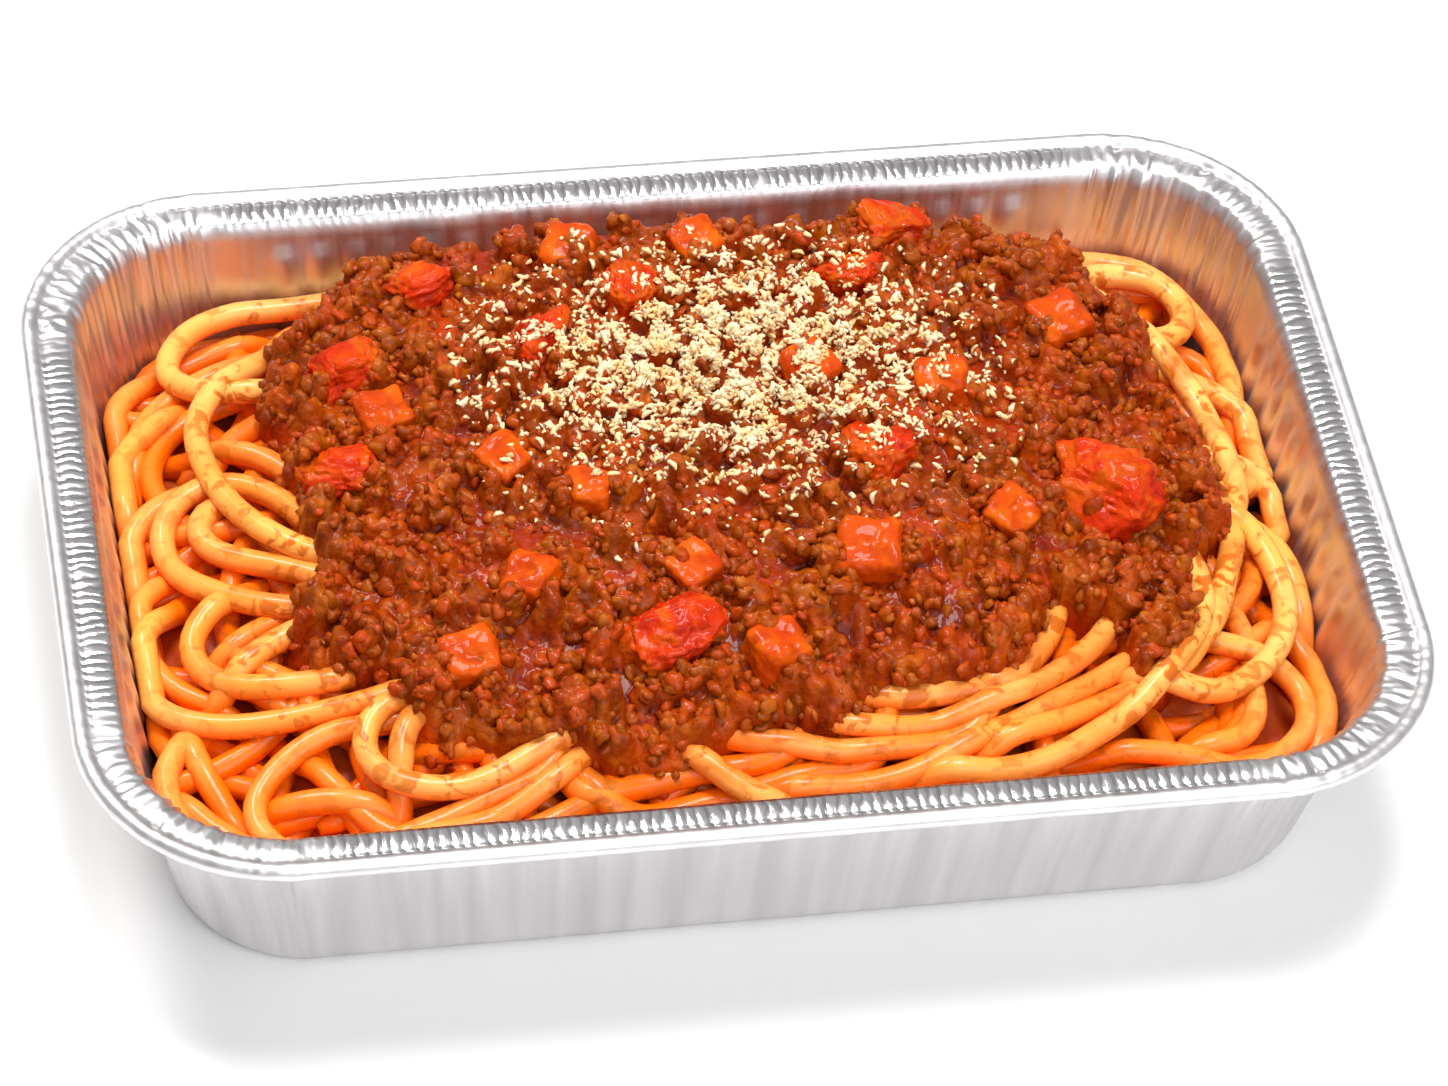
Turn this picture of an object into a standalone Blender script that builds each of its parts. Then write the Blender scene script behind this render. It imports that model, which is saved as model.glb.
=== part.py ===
# Spaghetti with meat sauce in an oblong foil tray, built as separate solids.
# Frame: +X along the long side, +Y away from the front, +Z up, origin at the middle of the tray's base.
# Sizes are in millimetres and are turned into metres when a mesh or an object is made.
import math
import random

import bmesh
import bpy
import numpy as np
from mathutils import Euler, Vector, noise

MM = 0.001

# Foil tray: an oblong takeaway tray with a curled rim
TRAY_LENGTH = 214.0
TRAY_WIDTH = 150.0
TRAY_HEIGHT = 40.0
RIM_CORNER = 32.0
RIM_WIDTH = 7.9
BEAD_WIDTH = 2.9
WALL = 0.6
BASE_HALF_X = 91.0
BASE_HALF_Y = 59.2
BASE_CORNER = 21.0
CORNER_STEPS = 6

# Gap between pieces that rest on each other
GAP = 0.4

# Spaghetti
STRAND = 4.2
STRAND_STEP = 7.0
STRAND_SINK = 1.1
MOUND_EDGE_Z = 28.0
MOUND_RISE = 13.0
CORE_DROP = 6.5
CORE_EDGE_Z = MOUND_EDGE_Z - CORE_DROP
MOUND_HALF_X = 97.0
MOUND_HALF_Y = 67.0
FIELD_CELL = 0.5

# Meat sauce
SAUCE_CENTRE = (4.0, 5.0)
DOME_CENTRE = (4.0, 8.0)
DOME_TOP_Z = 46.0
DOME_FALL = 19.0
DOME_HALF_X = 88.0
DOME_HALF_BACK = 78.0
DOME_HALF_FRONT = 70.0
SAUCE_BED = 0.6
SAUCE_SECTORS = 48
SAUCE_RINGS = 13
CRAG_SIZE = 7.5
CRAG_DEPTH = 3.0
SHRED_COUNT = 15

# Outline of the sauce seen from above, anticlockwise from the right
SAUCE_OUTLINE = [
    (81, 2), (78, 16), (77, 32), (73, 44), (62, 53), (46, 57), (24, 58), (2, 60), (-22, 59),
    (-42, 56), (-55, 49), (-63, 42), (-67, 30), (-66, 18), (-65, 6), (-62, -7), (-69, -16),
    (-64, -26), (-53, -31), (-52, -39), (-44, -46), (-30, -43), (-22, -50), (-12, -50), (2, -48),
    (13, -46), (22, -41), (36, -41), (46, -31), (51, -24), (59, -30), (64, -41), (70, -30),
    (74, -19), (80, -7),
]

# Strands that show, seen from above, the lowest first
STRANDS = {
    "left_wall_back": [(-64, 57), (-78, 53), (-87, 46), (-92, 37), (-94, 26), (-94, 16)],
    "left_wall_front": [(-94, -22), (-94, -31), (-91, -38), (-92, -46), (-88, -53)],
    "back_left_under": [(-66, 50), (-76, 46), (-84, 40), (-89, 32), (-92, 24), (-92, 15)],
    "back_left_rise": [(-28, 62), (-40, 61), (-50, 59), (-60, 55), (-70, 48), (-82, 40)],
    "left_inner_a": [(-80, 38), (-86, 32), (-87, 24), (-85, 15)],
    "left_inner_b": [(-76, 26), (-69, 22), (-63, 16)],
    "left_inner_d": [(-77, 13), (-81, 9), (-79, 3), (-74, -1), (-66, -6), (-58, -8)],
    "left_low_a": [(-66, -16), (-74, -18), (-81, -22)],
    "left_low_b": [(-91, 2), (-92, -6), (-90, -15), (-85, -25), (-80, -30)],
    "front_left_down": [(-88, -28), (-87, -35), (-84, -43), (-79, -52), (-74, -57)],
    "front_left_under": [(-70, -40), (-66, -46), (-61, -53), (-56, -58)],
    "front_low_b": [(-30, -61), (-18, -58), (-4, -56), (10, -53), (24, -51), (40, -48)],
    "front_low_c": [(20, -60), (32, -59), (48, -56), (62, -56), (72, -59)],
    "right_front_low": [(40, -52), (52, -49), (62, -44), (66, -38)],
    "right_wall_front": [(88, -12), (92, -24), (93, -34), (91, -45), (86, -54)],
    "right_wall_back": [(82, 44), (89, 38), (93, 29), (91, 20)],
    "right_hook": [(64, -49), (74, -50), (79, -46), (81, -39), (78, -31)],
    "back_right_outer": [(60, 57), (68, 60), (78, 58), (86, 52), (91, 44), (93, 34), (92, 25)],
    "back_right_edge": [(24, 61), (40, 61), (53, 59), (61, 54), (68, 46)],
    "left_loop_mid": [(-68, 17), (-77, 17), (-84, 13), (-88, 6), (-85, -2), (-76, -9), (-64, -14)],
    "left_loop_low": [(-80, -7), (-86, -13), (-86, -21), (-79, -26), (-69, -28), (-58, -28)],
    "left_long": [(-90, 3), (-94, -6), (-94, -16), (-89, -26), (-78, -32), (-64, -33), (-48, -31)],
    "front_left_loop": [
        (-56, -37), (-66, -38), (-75, -43), (-79, -51), (-74, -58), (-62, -59), (-48, -56), (-36, -51),
    ],
    "front_sauce_a": [(-24, -44), (-29, -51), (-38, -56), (-50, -60)],
    "front_sauce_b": [(-20, -48), (-26, -54), (-35, -59), (-46, -62)],
    "sweep_inner": [(14, -42), (28, -43), (39, -40), (47, -33), (52, -24)],
    "sweep_middle": [(4, -47), (20, -47), (34, -45), (46, -39), (54, -33), (60, -26)],
    "sweep_outer": [(-4, -57), (12, -57), (27, -53), (40, -48), (51, -42), (58, -35), (61, -27)],
    "right_loop_mid": [(80, 28), (88, 23), (94, 16), (95, 9), (91, 2), (84, 2)],
    "right_loop_low": [(90, 1), (94, -4), (91, -10), (84, -12)],
    "right_low_loop": [
        (74, -30), (83, -34), (89, -41), (89, -49), (83, -55), (74, -56), (64, -52), (54, -50),
    ],
    "right_under": [(81, -10), (80, -21), (76, -30), (71, -38), (66, -46)],
    "left_top_loop": [(-50, 57), (-61, 59), (-70, 60), (-79, 57), (-83, 49), (-81, 42), (-73, 38)],
    "back_right_inner": [(64, 50), (74, 54), (83, 52), (87, 46), (85, 39), (78, 35)],
    "left_s_bend": [
        (-54, 49), (-66, 44), (-76, 35), (-80, 26), (-78, 14), (-73, 4), (-66, -4), (-58, -11),
    ],
    "front_diagonal": [(-13, -47), (-8, -53), (-1, -58), (8, -61)],
    "front_loop_top": [
        (-52, -33), (-60, -37), (-62, -43), (-58, -49), (-49, -52), (-39, -51), (-30, -46), (-22, -42),
    ],
    "right_side_long": [(64, 50), (73, 42), (80, 30), (84, 17), (86, 3), (84, -10)],
    "right_big_loop": [
        (76, -2), (84, -10), (88, -20), (88, -29), (83, -37), (75, -43), (65, -44),
    ],
    "right_sweep_top": [
        (24, -53), (35, -57), (46, -56), (56, -50), (66, -42), (73, -31), (75, -20), (74, -9),
    ],
}

# Tomato pieces: place, size along X, Y and Z, and turn in degrees
TOMATOES = {
    "tomato_left_back": (-56, 32, 12, 9, 8, 20),
    "tomato_left": (-59, 9, 12, 9, 8, -25),
    "tomato_back_left": (-40, 49, 11, 8, 7, 10),
    "tomato_mid_left": (-24, 29, 11, 10, 8, 30),
    "tomato_mid_back": (-8, 41, 9, 9, 8, 0),
    "tomato_back_mid": (29, 41, 11, 8, 8, -15),
    "tomato_back_right": (38, 54, 12, 8, 7, 5),
    "tomato_mid_right": (25, -1, 11, 10, 9, 40),
    "tomato_right": (61, -9, 17, 14, 12, -30),
    "tomato_front": (-13, -34, 15, 11, 9, 5),
}

# Carrot dice: place, size, turn and tip in degrees
CARROTS = {
    "carrot_left": (-51, 20, 8.0, 15, 10),
    "carrot_mid_left": (-34, 4, 7.0, 35, 14),
    "carrot_mid": (-22, -5, 8.0, -20, 8),
    "carrot_front_mid": (-8, -22, 7.5, 30, 10),
    "carrot_front": (3, -38, 8.5, 22, 6),
    "carrot_front_right": (21, -21, 10.0, -15, 16),
    "carrot_right": (45, -14, 8.0, 40, 12),
    "carrot_front_left": (-44, -32, 9.0, 10, 14),
    "carrot_low_left": (-33, -21, 8.0, -35, 12),
    "carrot_centre": (18, 19, 8.0, 25, 10),
    "carrot_mid_right": (39, 14, 8.0, -10, 15),
    "carrot_back_right": (62, 31, 9.0, 20, 12),
    "carrot_back_left": (-16, 53, 8.5, -25, 12),
    "carrot_back": (5, 53, 8.0, 30, 14),
}


def clear_scene():
    for old in list(bpy.data.objects):
        bpy.data.objects.remove(old)


def new_collection(name):
    made = bpy.data.collections.new(name)
    bpy.context.scene.collection.children.link(made)
    return made


def new_material(name, colour, roughness, metallic=0.0):
    made = bpy.data.materials.new(name)
    made.use_nodes = True
    shader = made.node_tree.nodes["Principled BSDF"]
    shader.inputs["Base Color"].default_value = (*colour, 1.0)
    shader.inputs["Roughness"].default_value = roughness
    shader.inputs["Metallic"].default_value = metallic
    return made


def object_from_bmesh(name, shape, collection, material):
    mesh = bpy.data.meshes.new(name)
    shape.to_mesh(mesh)
    shape.free()
    mesh.materials.append(material)
    made = bpy.data.objects.new(name, mesh)
    collection.objects.link(made)
    return made


def lofted(rings, close_first, close_last):
    """A closed skin over rings of points in millimetres. A close value is a point, or None for a flat cap."""
    shape = bmesh.new()
    rows = [[shape.verts.new(Vector(p) * MM) for p in ring] for ring in rings]
    count = len(rows[0])
    for low, high in zip(rows, rows[1:]):
        for i in range(count):
            j = (i + 1) % count
            shape.faces.new((low[i], low[j], high[j], high[i]))
    for row, centre, turned in ((rows[0], close_first, True), (rows[-1], close_last, False)):
        if centre is None:
            shape.faces.new(row[::-1] if turned else row)
            continue
        tip = shape.verts.new(Vector(centre) * MM)
        for i in range(count):
            j = (i + 1) % count
            shape.faces.new((tip, row[j], row[i]) if turned else (tip, row[i], row[j]))
    bmesh.ops.recalc_face_normals(shape, faces=shape.faces)
    return shape


def rounded_ring(half_x, half_y, radius, z):
    """Points of a rectangle with round corners, anticlockwise."""
    ring = []
    for turn, (sx, sy) in enumerate(((1, 1), (-1, 1), (-1, -1), (1, -1))):
        for step in range(CORNER_STEPS + 1):
            angle = math.radians(90 * turn + 90 * step / CORNER_STEPS)
            x = sx * (half_x - radius) + radius * math.cos(angle)
            y = sy * (half_y - radius) + radius * math.sin(angle)
            ring.append((x, y, z))
    return ring


def rim_ring(inset, z):
    """A ring parallel to the rim's outer edge."""
    return rounded_ring(TRAY_LENGTH / 2 - inset, TRAY_WIDTH / 2 - inset, RIM_CORNER - inset, z)


def wall_size(z):
    """Half sizes and corner radius of the sloping wall's outer face at height z."""
    share = z / TRAY_HEIGHT
    top = RIM_WIDTH + 0.2
    half_x = BASE_HALF_X + share * (TRAY_LENGTH / 2 - top - BASE_HALF_X)
    half_y = BASE_HALF_Y + share * (TRAY_WIDTH / 2 - top - BASE_HALF_Y)
    return half_x, half_y, BASE_CORNER + share * (RIM_CORNER - top - BASE_CORNER)


def wall_ring(z, inset):
    """A ring on the sloping wall's outer face at height z, moved inwards by inset."""
    half_x, half_y, radius = wall_size(z)
    return rounded_ring(half_x - inset, half_y - inset, radius - inset, z)


def keep_inside(point, room):
    """Pulls a plan point back until it is room inside the wall."""
    half_x, half_y, radius = wall_size(CORE_EDGE_Z)
    centre = np.clip(point, (radius - half_x, radius - half_y), (half_x - radius, half_y - radius))
    away = np.array(point) - centre
    reach = float(np.hypot(*away))
    return centre + away * min(1.0, (radius - room) / max(reach, 0.001))


def tray(collection, material):
    """The foil shell: base, sloping wall, flat rim and rolled bead at the rim's edge."""
    top = TRAY_HEIGHT
    flange = BEAD_WIDTH + 0.2
    rings = [
        wall_ring(0.0, 1.6),
        wall_ring(0.5, 0.5),
        wall_ring(1.8, 0.0),
        wall_ring(top - 2.0, 0.0),
        rim_ring(RIM_WIDTH - 0.9, top - 1.4),
        rim_ring(flange - 0.3, top - 1.6),
        rim_ring(BEAD_WIDTH - 0.6, top - 2.7),
        rim_ring(0.9, top - 2.9),
        rim_ring(0.0, top - 1.5),
        rim_ring(0.35, top - 0.4),
        rim_ring(1.4, top),
        rim_ring(BEAD_WIDTH - 0.4, top - 0.4),
        rim_ring(flange, top - 1.0),
        rim_ring(RIM_WIDTH - 0.5, top - 0.8),
        rim_ring(RIM_WIDTH + 0.4, top - 1.5),
        wall_ring(top - 3.0, WALL),
        wall_ring(2.2, WALL),
        wall_ring(0.9, WALL + 0.6),
        wall_ring(WALL, WALL + 1.8),
    ]
    return object_from_bmesh("tray", lofted(rings, None, None), collection, material)


def mound_share(x, y):
    """0 at the middle of the mound, 1 at the tray's wall."""
    return min(1.0, (abs(x) / MOUND_HALF_X) ** 3 + (abs(y) / MOUND_HALF_Y) ** 3)


def mound_height(x, y):
    """The mound's surface, which the topmost strands reach."""
    return MOUND_EDGE_Z + MOUND_RISE * (1.0 - mound_share(x, y))


def core_height(x, y):
    return mound_height(x, y) - CORE_DROP


def scaled_ring(ring, share):
    return [(x * share, y * share, core_height(x * share, y * share)) for x, y, _ in ring]


def spaghetti_core(collection, material):
    """The packed mass under the strands, clear of the tray's floor and wall."""
    side = [(x, y, core_height(x, y)) for x, y, _ in wall_ring(CORE_EDGE_Z, WALL + GAP + 0.1)]
    rings = [
        wall_ring(WALL + GAP, WALL + GAP + 1.9),
        wall_ring(2.5, WALL + GAP + 0.1),
        side,
    ]
    rings += [scaled_ring(side, share) for share in (0.96, 0.88, 0.76, 0.6, 0.4, 0.2)]
    top = (0.0, 0.0, core_height(0.0, 0.0))
    return object_from_bmesh("spaghetti", lofted(rings, None, top), collection, material)


def smooth_route(points, step):
    """Points a step apart along a smooth curve through the given plan points."""
    knots = [np.array(p, float) for p in points]
    knots = [2 * knots[0] - knots[1]] + knots + [2 * knots[-1] - knots[-2]]
    fine = []
    for a, b, c, d in zip(knots, knots[1:], knots[2:], knots[3:]):
        for t in np.linspace(0, 1, 16, endpoint=False):
            fine.append(
                0.5 * (2 * b + (c - a) * t + (2 * a - 5 * b + 4 * c - d) * t**2
                       + (3 * b - a - 3 * c + d) * t**3)
            )
    fine.append(knots[-2])
    fine = np.array(fine)
    run = np.concatenate([[0], np.cumsum(np.hypot(*np.diff(fine, axis=0).T))])
    count = max(4, round(run[-1] / step) + 1)
    wanted = np.linspace(0, run[-1], count)
    room = WALL + GAP + STRAND / 2
    route = np.stack([np.interp(wanted, run, fine[:, k]) for k in (0, 1)], 1)
    return np.array([keep_inside(point, room) for point in route])


class Pile:
    """The height of what lies in the tray so far, on a grid, so that each strand rests on those below."""

    def __init__(self):
        self.xs = np.arange(-100, 100.01, FIELD_CELL)
        self.ys = np.arange(-72, 72.01, FIELD_CELL)
        self.height = np.array([[core_height(x, y) for x in self.xs] for y in self.ys])

    def patch(self, x, y, radius):
        i0, i1 = np.searchsorted(self.xs, (x - radius, x + radius))
        j0, j1 = np.searchsorted(self.ys, (y - radius, y + radius))
        dx = self.xs[i0:i1][None, :] - x
        dy = self.ys[j0:j1][:, None] - y
        bulge = radius**2 - dx**2 - dy**2
        return slice(j0, j1), slice(i0, i1), np.where(bulge > 0, np.sqrt(np.maximum(bulge, 0)), -99.0)

    def rest(self, x, y, radius):
        rows, columns, bulge = self.patch(x, y, radius)
        return float((self.height[rows, columns] + bulge).max())

    def lay(self, route, radius, sunk):
        """Heights of a strand's points over the pile, which then grows by the strand."""
        needed = np.array([self.rest(x, y, radius) for x, y in route]) - sunk
        heights = needed.copy()
        for _ in range(4):
            padded = np.pad(heights, 1, mode="edge")
            heights = np.maximum(needed, (padded[:-2] + padded[1:-1] + padded[2:]) / 3)
        for (x, y), z in zip(route, heights):
            rows, columns, bulge = self.patch(x, y, radius)
            self.height[rows, columns] = np.maximum(self.height[rows, columns], z + bulge)
        return heights


def strand(name, points, pile, collection, material):
    """A strand as a bevelled curve that rests on the pile, turned into a closed mesh."""
    radius = STRAND / 2
    fine = smooth_route(points, FIELD_CELL * 2)
    fine_z = pile.lay(fine, radius, STRAND_SINK)
    route = smooth_route(points, STRAND_STEP)
    along = np.linspace(0, 1, len(fine))
    heights = np.interp(np.linspace(0, 1, len(route)), along, fine_z)
    curve = bpy.data.curves.new(name, "CURVE")
    curve.dimensions = "3D"
    curve.bevel_depth = radius * MM
    curve.bevel_resolution = 1
    curve.use_fill_caps = True
    spline = curve.splines.new("POLY")
    spline.points.add(len(route) - 1)
    for point, (x, y), z in zip(spline.points, route, heights):
        point.co = (x * MM, y * MM, z * MM, 1.0)
    guide = bpy.data.objects.new(name, curve)
    collection.objects.link(guide)
    bpy.context.view_layer.update()
    evaluated = guide.evaluated_get(bpy.context.evaluated_depsgraph_get())
    mesh = bpy.data.meshes.new_from_object(evaluated)
    shape = bmesh.new()
    shape.from_mesh(mesh)
    bmesh.ops.remove_doubles(shape, verts=shape.verts, dist=0.00005)
    shape.to_mesh(mesh)
    shape.free()
    bpy.data.objects.remove(guide)
    made = bpy.data.objects.new(name, mesh)
    made.data.materials.append(material)
    collection.objects.link(made)
    return made


def apply_boolean(target, operation, others, solver="MANIFOLD"):
    """Joins or cuts with a collection, and then removes that collection's objects."""
    modifier = target.modifiers.new(operation.title(), "BOOLEAN")
    modifier.operation = operation
    modifier.operand_type = "COLLECTION"
    modifier.collection = others
    modifier.solver = solver
    bpy.context.view_layer.update()
    evaluated = target.evaluated_get(bpy.context.evaluated_depsgraph_get())
    mesh = bpy.data.meshes.new_from_object(evaluated)
    target.modifiers.clear()
    target.data = mesh
    for other in list(others.objects):
        bpy.data.objects.remove(other)


def keep_main_body(target):
    """Removes the small slivers that a cut leaves beside the main body."""
    shape = bmesh.new()
    shape.from_mesh(target.data)
    left = set(shape.verts)
    bodies = []
    while left:
        body = []
        front = [left.pop()]
        while front:
            vert = front.pop()
            body.append(vert)
            near = {edge.other_vert(vert) for edge in vert.link_edges} & left
            left -= near
            front.extend(near)
        bodies.append(body)
    bodies.sort(key=len)
    for body in bodies[:-1]:
        bmesh.ops.delete(shape, geom=body, context="VERTS")
    shape.to_mesh(target.data)
    shape.free()


def sauce_reach(angle):
    """Distance from the sauce's centre to its outline, at an angle in radians."""
    cx, cy = SAUCE_CENTRE
    corners = sorted((math.atan2(y - cy, x - cx), math.hypot(x - cx, y - cy)) for x, y in SAUCE_OUTLINE)
    angles = [a for a, _ in corners]
    reaches = [r for _, r in corners]
    return float(np.interp(angle, angles, reaches, period=2 * math.pi))


def sauce_point(angle, share, outset=0.0):
    reach = (sauce_reach(angle) + outset) * share
    return SAUCE_CENTRE[0] + reach * math.cos(angle), SAUCE_CENTRE[1] + reach * math.sin(angle)


def crag(x, y):
    """Relief of the minced meat: round lumps with clefts between them."""
    near = noise.voronoi(Vector((x / CRAG_SIZE, y / CRAG_SIZE, 0.37)))[0][0]
    broad = noise.noise(Vector((x / 19.0, y / 19.0, 2.1)))
    return CRAG_DEPTH * (0.45 - near) + 1.6 * broad


def dome_height(x, y):
    """The sauce's top without its crags: it stays high towards the back."""
    dx, dy = x - DOME_CENTRE[0], y - DOME_CENTRE[1]
    half_y = DOME_HALF_BACK if dy > 0 else DOME_HALF_FRONT
    return DOME_TOP_Z - DOME_FALL * (abs(dx / DOME_HALF_X) ** 2.8 + abs(dy / half_y) ** 2.8)


def sauce_top(x, y, share):
    relief = crag(x, y) * (0.45 + 0.55 * min(1.0, 4.0 * (1.0 - share)))
    return dome_height(x, y) + relief


def sauce_body(collection, material):
    """The heap of meat sauce: an uneven top, a round edge and an underside that follows the core."""
    angles = [2 * math.pi * i / SAUCE_SECTORS for i in range(SAUCE_SECTORS)]
    rings = []
    for share in (0.3, 0.62, 0.88, 0.975):
        under = [sauce_point(a, share) for a in angles]
        rings.append([(x, y, core_height(x, y) - SAUCE_BED + GAP) for x, y in under])
    edge = [sauce_point(a, 1.0) for a in angles]
    rings.append([(x, y, mound_height(x, y) - 0.4 * CORE_DROP) for x, y in edge])
    for k in range(SAUCE_RINGS):
        share = 0.985 * (1.0 - k / SAUCE_RINGS) ** 0.9
        rings.append([(*p, sauce_top(*p, share)) for p in (sauce_point(a, share) for a in angles)])
    x, y = SAUCE_CENTRE
    under_tip = (x, y, core_height(x, y) - SAUCE_BED + GAP)
    return object_from_bmesh(
        "meat_sauce", lofted(rings, under_tip, (x, y, sauce_top(x, y, 0.0))), collection, material
    )


def sauce_clearance(collection, material):
    """What the strands are cut back to, a gap outside the sauce."""
    angles = [2 * math.pi * i / SAUCE_SECTORS for i in range(SAUCE_SECTORS)]
    rings = []
    for share in (0.3, 0.62, 0.88, 1.0):
        under = [sauce_point(a, share, GAP) for a in angles]
        rings.append([(x, y, core_height(x, y) - SAUCE_BED) for x, y in under])
    rings.append([(*sauce_point(a, 1.0, GAP), 70.0) for a in angles])
    x, y = SAUCE_CENTRE
    shape = lofted(rings, (x, y, core_height(x, y) - SAUCE_BED), None)
    return object_from_bmesh("sauce_clearance", shape, collection, material)


def share_at(x, y):
    """How far out a point lies in the sauce: 0 at the centre, 1 at the outline."""
    dx, dy = x - SAUCE_CENTRE[0], y - SAUCE_CENTRE[1]
    return math.hypot(dx, dy) / sauce_reach(math.atan2(dy, dx))


def tomato(name, place, grown, collection, material):
    """A soft piece of tomato: a pinched, uneven ball, half sunk in the sauce."""
    x, y, size_x, size_y, size_z, turn = place
    shape = bmesh.new()
    bmesh.ops.create_icosphere(shape, subdivisions=2, radius=0.5)
    for vert in shape.verts:
        bump = 1.0 + 0.16 * noise.noise(vert.co * 3.1 + Vector((x, y, 0.0)))
        vert.co = vert.co * bump
        vert.co.x *= size_x + grown
        vert.co.y *= size_y + grown
        vert.co.z *= size_z + grown
    bmesh.ops.scale(shape, vec=(MM, MM, MM), verts=shape.verts)
    made = object_from_bmesh(name, shape, collection, material)
    made.location = Vector((x, y, dome_height(x, y) + 0.05 * size_z)) * MM
    made.rotation_euler = Euler((0.0, 0.0, math.radians(turn)))
    return made


def carrot(name, place, grown, collection, material):
    """A carrot die with soft edges, tipped a little and half sunk in the sauce."""
    x, y, size, turn, tip = place
    shape = bmesh.new()
    bmesh.ops.create_cube(shape, size=(size + grown) * MM)
    bmesh.ops.bevel(
        shape, geom=shape.edges[:], offset=0.13 * size * MM, segments=1, affect="EDGES", profile=0.5
    )
    made = object_from_bmesh(name, shape, collection, material)
    made.location = Vector((x, y, dome_height(x, y) + 0.02 * size)) * MM
    made.rotation_euler = Euler((math.radians(tip), math.radians(-tip * 0.6), math.radians(turn)))
    return made


def near_topping(x, y, room):
    """True if a point lies within room of a tomato or carrot piece."""
    pieces = [(p[0], p[1], max(p[2], p[3])) for p in TOMATOES.values()]
    pieces += [(p[0], p[1], p[2] * 1.4) for p in CARROTS.values()]
    return any(math.hypot(x - px, y - py) < size / 2 + room for px, py, size in pieces)


def cheese_shreds(collection, material):
    """Grated cheese scattered over the middle of the sauce, as short bars sunk a little in its top."""
    draw = random.Random(7)
    made = 0
    while made < SHRED_COUNT:
        x = draw.gauss(4.0, 20.0)
        y = draw.gauss(21.0, 14.0)
        if abs(x - 4.0) > 40 or not -12 < y < 48 or near_topping(x, y, 2.6):
            continue
        shape = bmesh.new()
        bmesh.ops.create_cube(shape, size=MM)
        bmesh.ops.scale(shape, vec=(draw.uniform(2.6, 4.2), 1.5, 1.5), verts=shape.verts)
        shred = object_from_bmesh(f"shred_{made}", shape, collection, material)
        shred.location = Vector((x, y, sauce_top(x, y, share_at(x, y)) + 0.35)) * MM
        shred.rotation_euler = Euler((draw.uniform(-0.3, 0.3), draw.uniform(-0.3, 0.3), draw.uniform(0, 3.1)))
        made += 1


def build():
    clear_scene()
    meal = new_collection("foil_tray_meal")
    tools = new_collection("cutters")
    foil = new_material("foil", (0.80, 0.80, 0.82), 0.28, 1.0)
    pasta = new_material("pasta", (0.86, 0.50, 0.12), 0.35)
    sauce = new_material("sauce", (0.42, 0.10, 0.03), 0.40)
    red = new_material("tomato", (0.62, 0.05, 0.02), 0.25)
    orange = new_material("carrot", (0.85, 0.24, 0.03), 0.30)

    tray(meal, foil)

    mass = spaghetti_core(meal, pasta)
    pile = Pile()
    for name, points in STRANDS.items():
        strand(name, points, pile, tools, pasta)
    apply_boolean(mass, "UNION", tools)
    sauce_clearance(tools, pasta)
    apply_boolean(mass, "DIFFERENCE", tools)
    keep_main_body(mass)

    heap = sauce_body(meal, sauce)
    cheese_shreds(tools, sauce)
    apply_boolean(heap, "UNION", tools)
    for name, place in TOMATOES.items():
        tomato("cut_" + name, place, 2 * GAP + 0.2, tools, red)
    for name, place in CARROTS.items():
        carrot("cut_" + name, place, 2 * GAP, tools, orange)
    apply_boolean(heap, "DIFFERENCE", tools)
    keep_main_body(heap)

    for name, place in TOMATOES.items():
        tomato(name, place, 0.0, meal, red)
    for name, place in CARROTS.items():
        carrot(name, place, 0.0, meal, orange)


build()
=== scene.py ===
import math
import random

import bmesh
import bpy
import numpy as np
from mathutils import Euler, Matrix, Vector, noise


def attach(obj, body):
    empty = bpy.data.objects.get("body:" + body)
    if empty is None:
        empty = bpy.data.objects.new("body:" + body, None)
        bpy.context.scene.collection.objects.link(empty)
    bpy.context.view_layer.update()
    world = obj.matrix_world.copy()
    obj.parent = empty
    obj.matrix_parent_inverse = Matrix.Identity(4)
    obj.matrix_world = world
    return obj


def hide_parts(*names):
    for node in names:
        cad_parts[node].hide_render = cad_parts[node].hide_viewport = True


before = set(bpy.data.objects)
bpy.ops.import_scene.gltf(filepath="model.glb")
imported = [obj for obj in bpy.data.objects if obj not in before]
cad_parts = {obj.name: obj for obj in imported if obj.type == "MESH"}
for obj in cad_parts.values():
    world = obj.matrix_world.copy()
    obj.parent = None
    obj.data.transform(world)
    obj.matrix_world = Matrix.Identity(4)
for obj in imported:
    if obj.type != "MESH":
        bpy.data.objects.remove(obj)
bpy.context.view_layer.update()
mm = 0.001


# Helpers for picking, editing, measuring and finishing a piece

def pick(obj):
    bpy.ops.object.select_all(action="DESELECT")
    obj.select_set(True)
    bpy.context.view_layer.objects.active = obj


# Opens a piece for editing, with all of it selected
def edit(obj):
    pick(obj)
    bpy.ops.object.mode_set(mode="EDIT")
    bpy.ops.mesh.select_all(action="SELECT")


# Closes the open sheet being edited: its edge goes down by drop, and a face fills it there
def closeSheet(drop=0.0):
    bpy.ops.mesh.select_all(action="DESELECT")
    bpy.ops.mesh.select_non_manifold()
    if drop:
        bpy.ops.mesh.extrude_region_move(TRANSFORM_OT_translate={"value": (0.0, 0.0, -drop * mm)})
    bpy.ops.mesh.edge_face_add()
    bpy.ops.mesh.select_all(action="SELECT")
    bpy.ops.mesh.normals_make_consistent(inside=False)
    bpy.ops.object.mode_set(mode="OBJECT")


def setPoints(obj, points):
    obj.data.vertices.foreach_set("co", (np.asarray(points, float) * mm).astype(np.float32).ravel())
    obj.data.update()


def getPoints(obj):
    points = np.empty(len(obj.data.vertices) * 3, np.float32)
    obj.data.vertices.foreach_get("co", points)
    return points.reshape(-1, 3).astype(float) / mm


def countTriangles(obj):
    return sum(len(face.vertices) - 2 for face in obj.data.polygons)


def setAttribute(obj, name, values):
    layer = obj.data.attributes.new(name, "FLOAT", "POINT")
    layer.data.foreach_set("value", np.asarray(values, np.float32))


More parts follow.
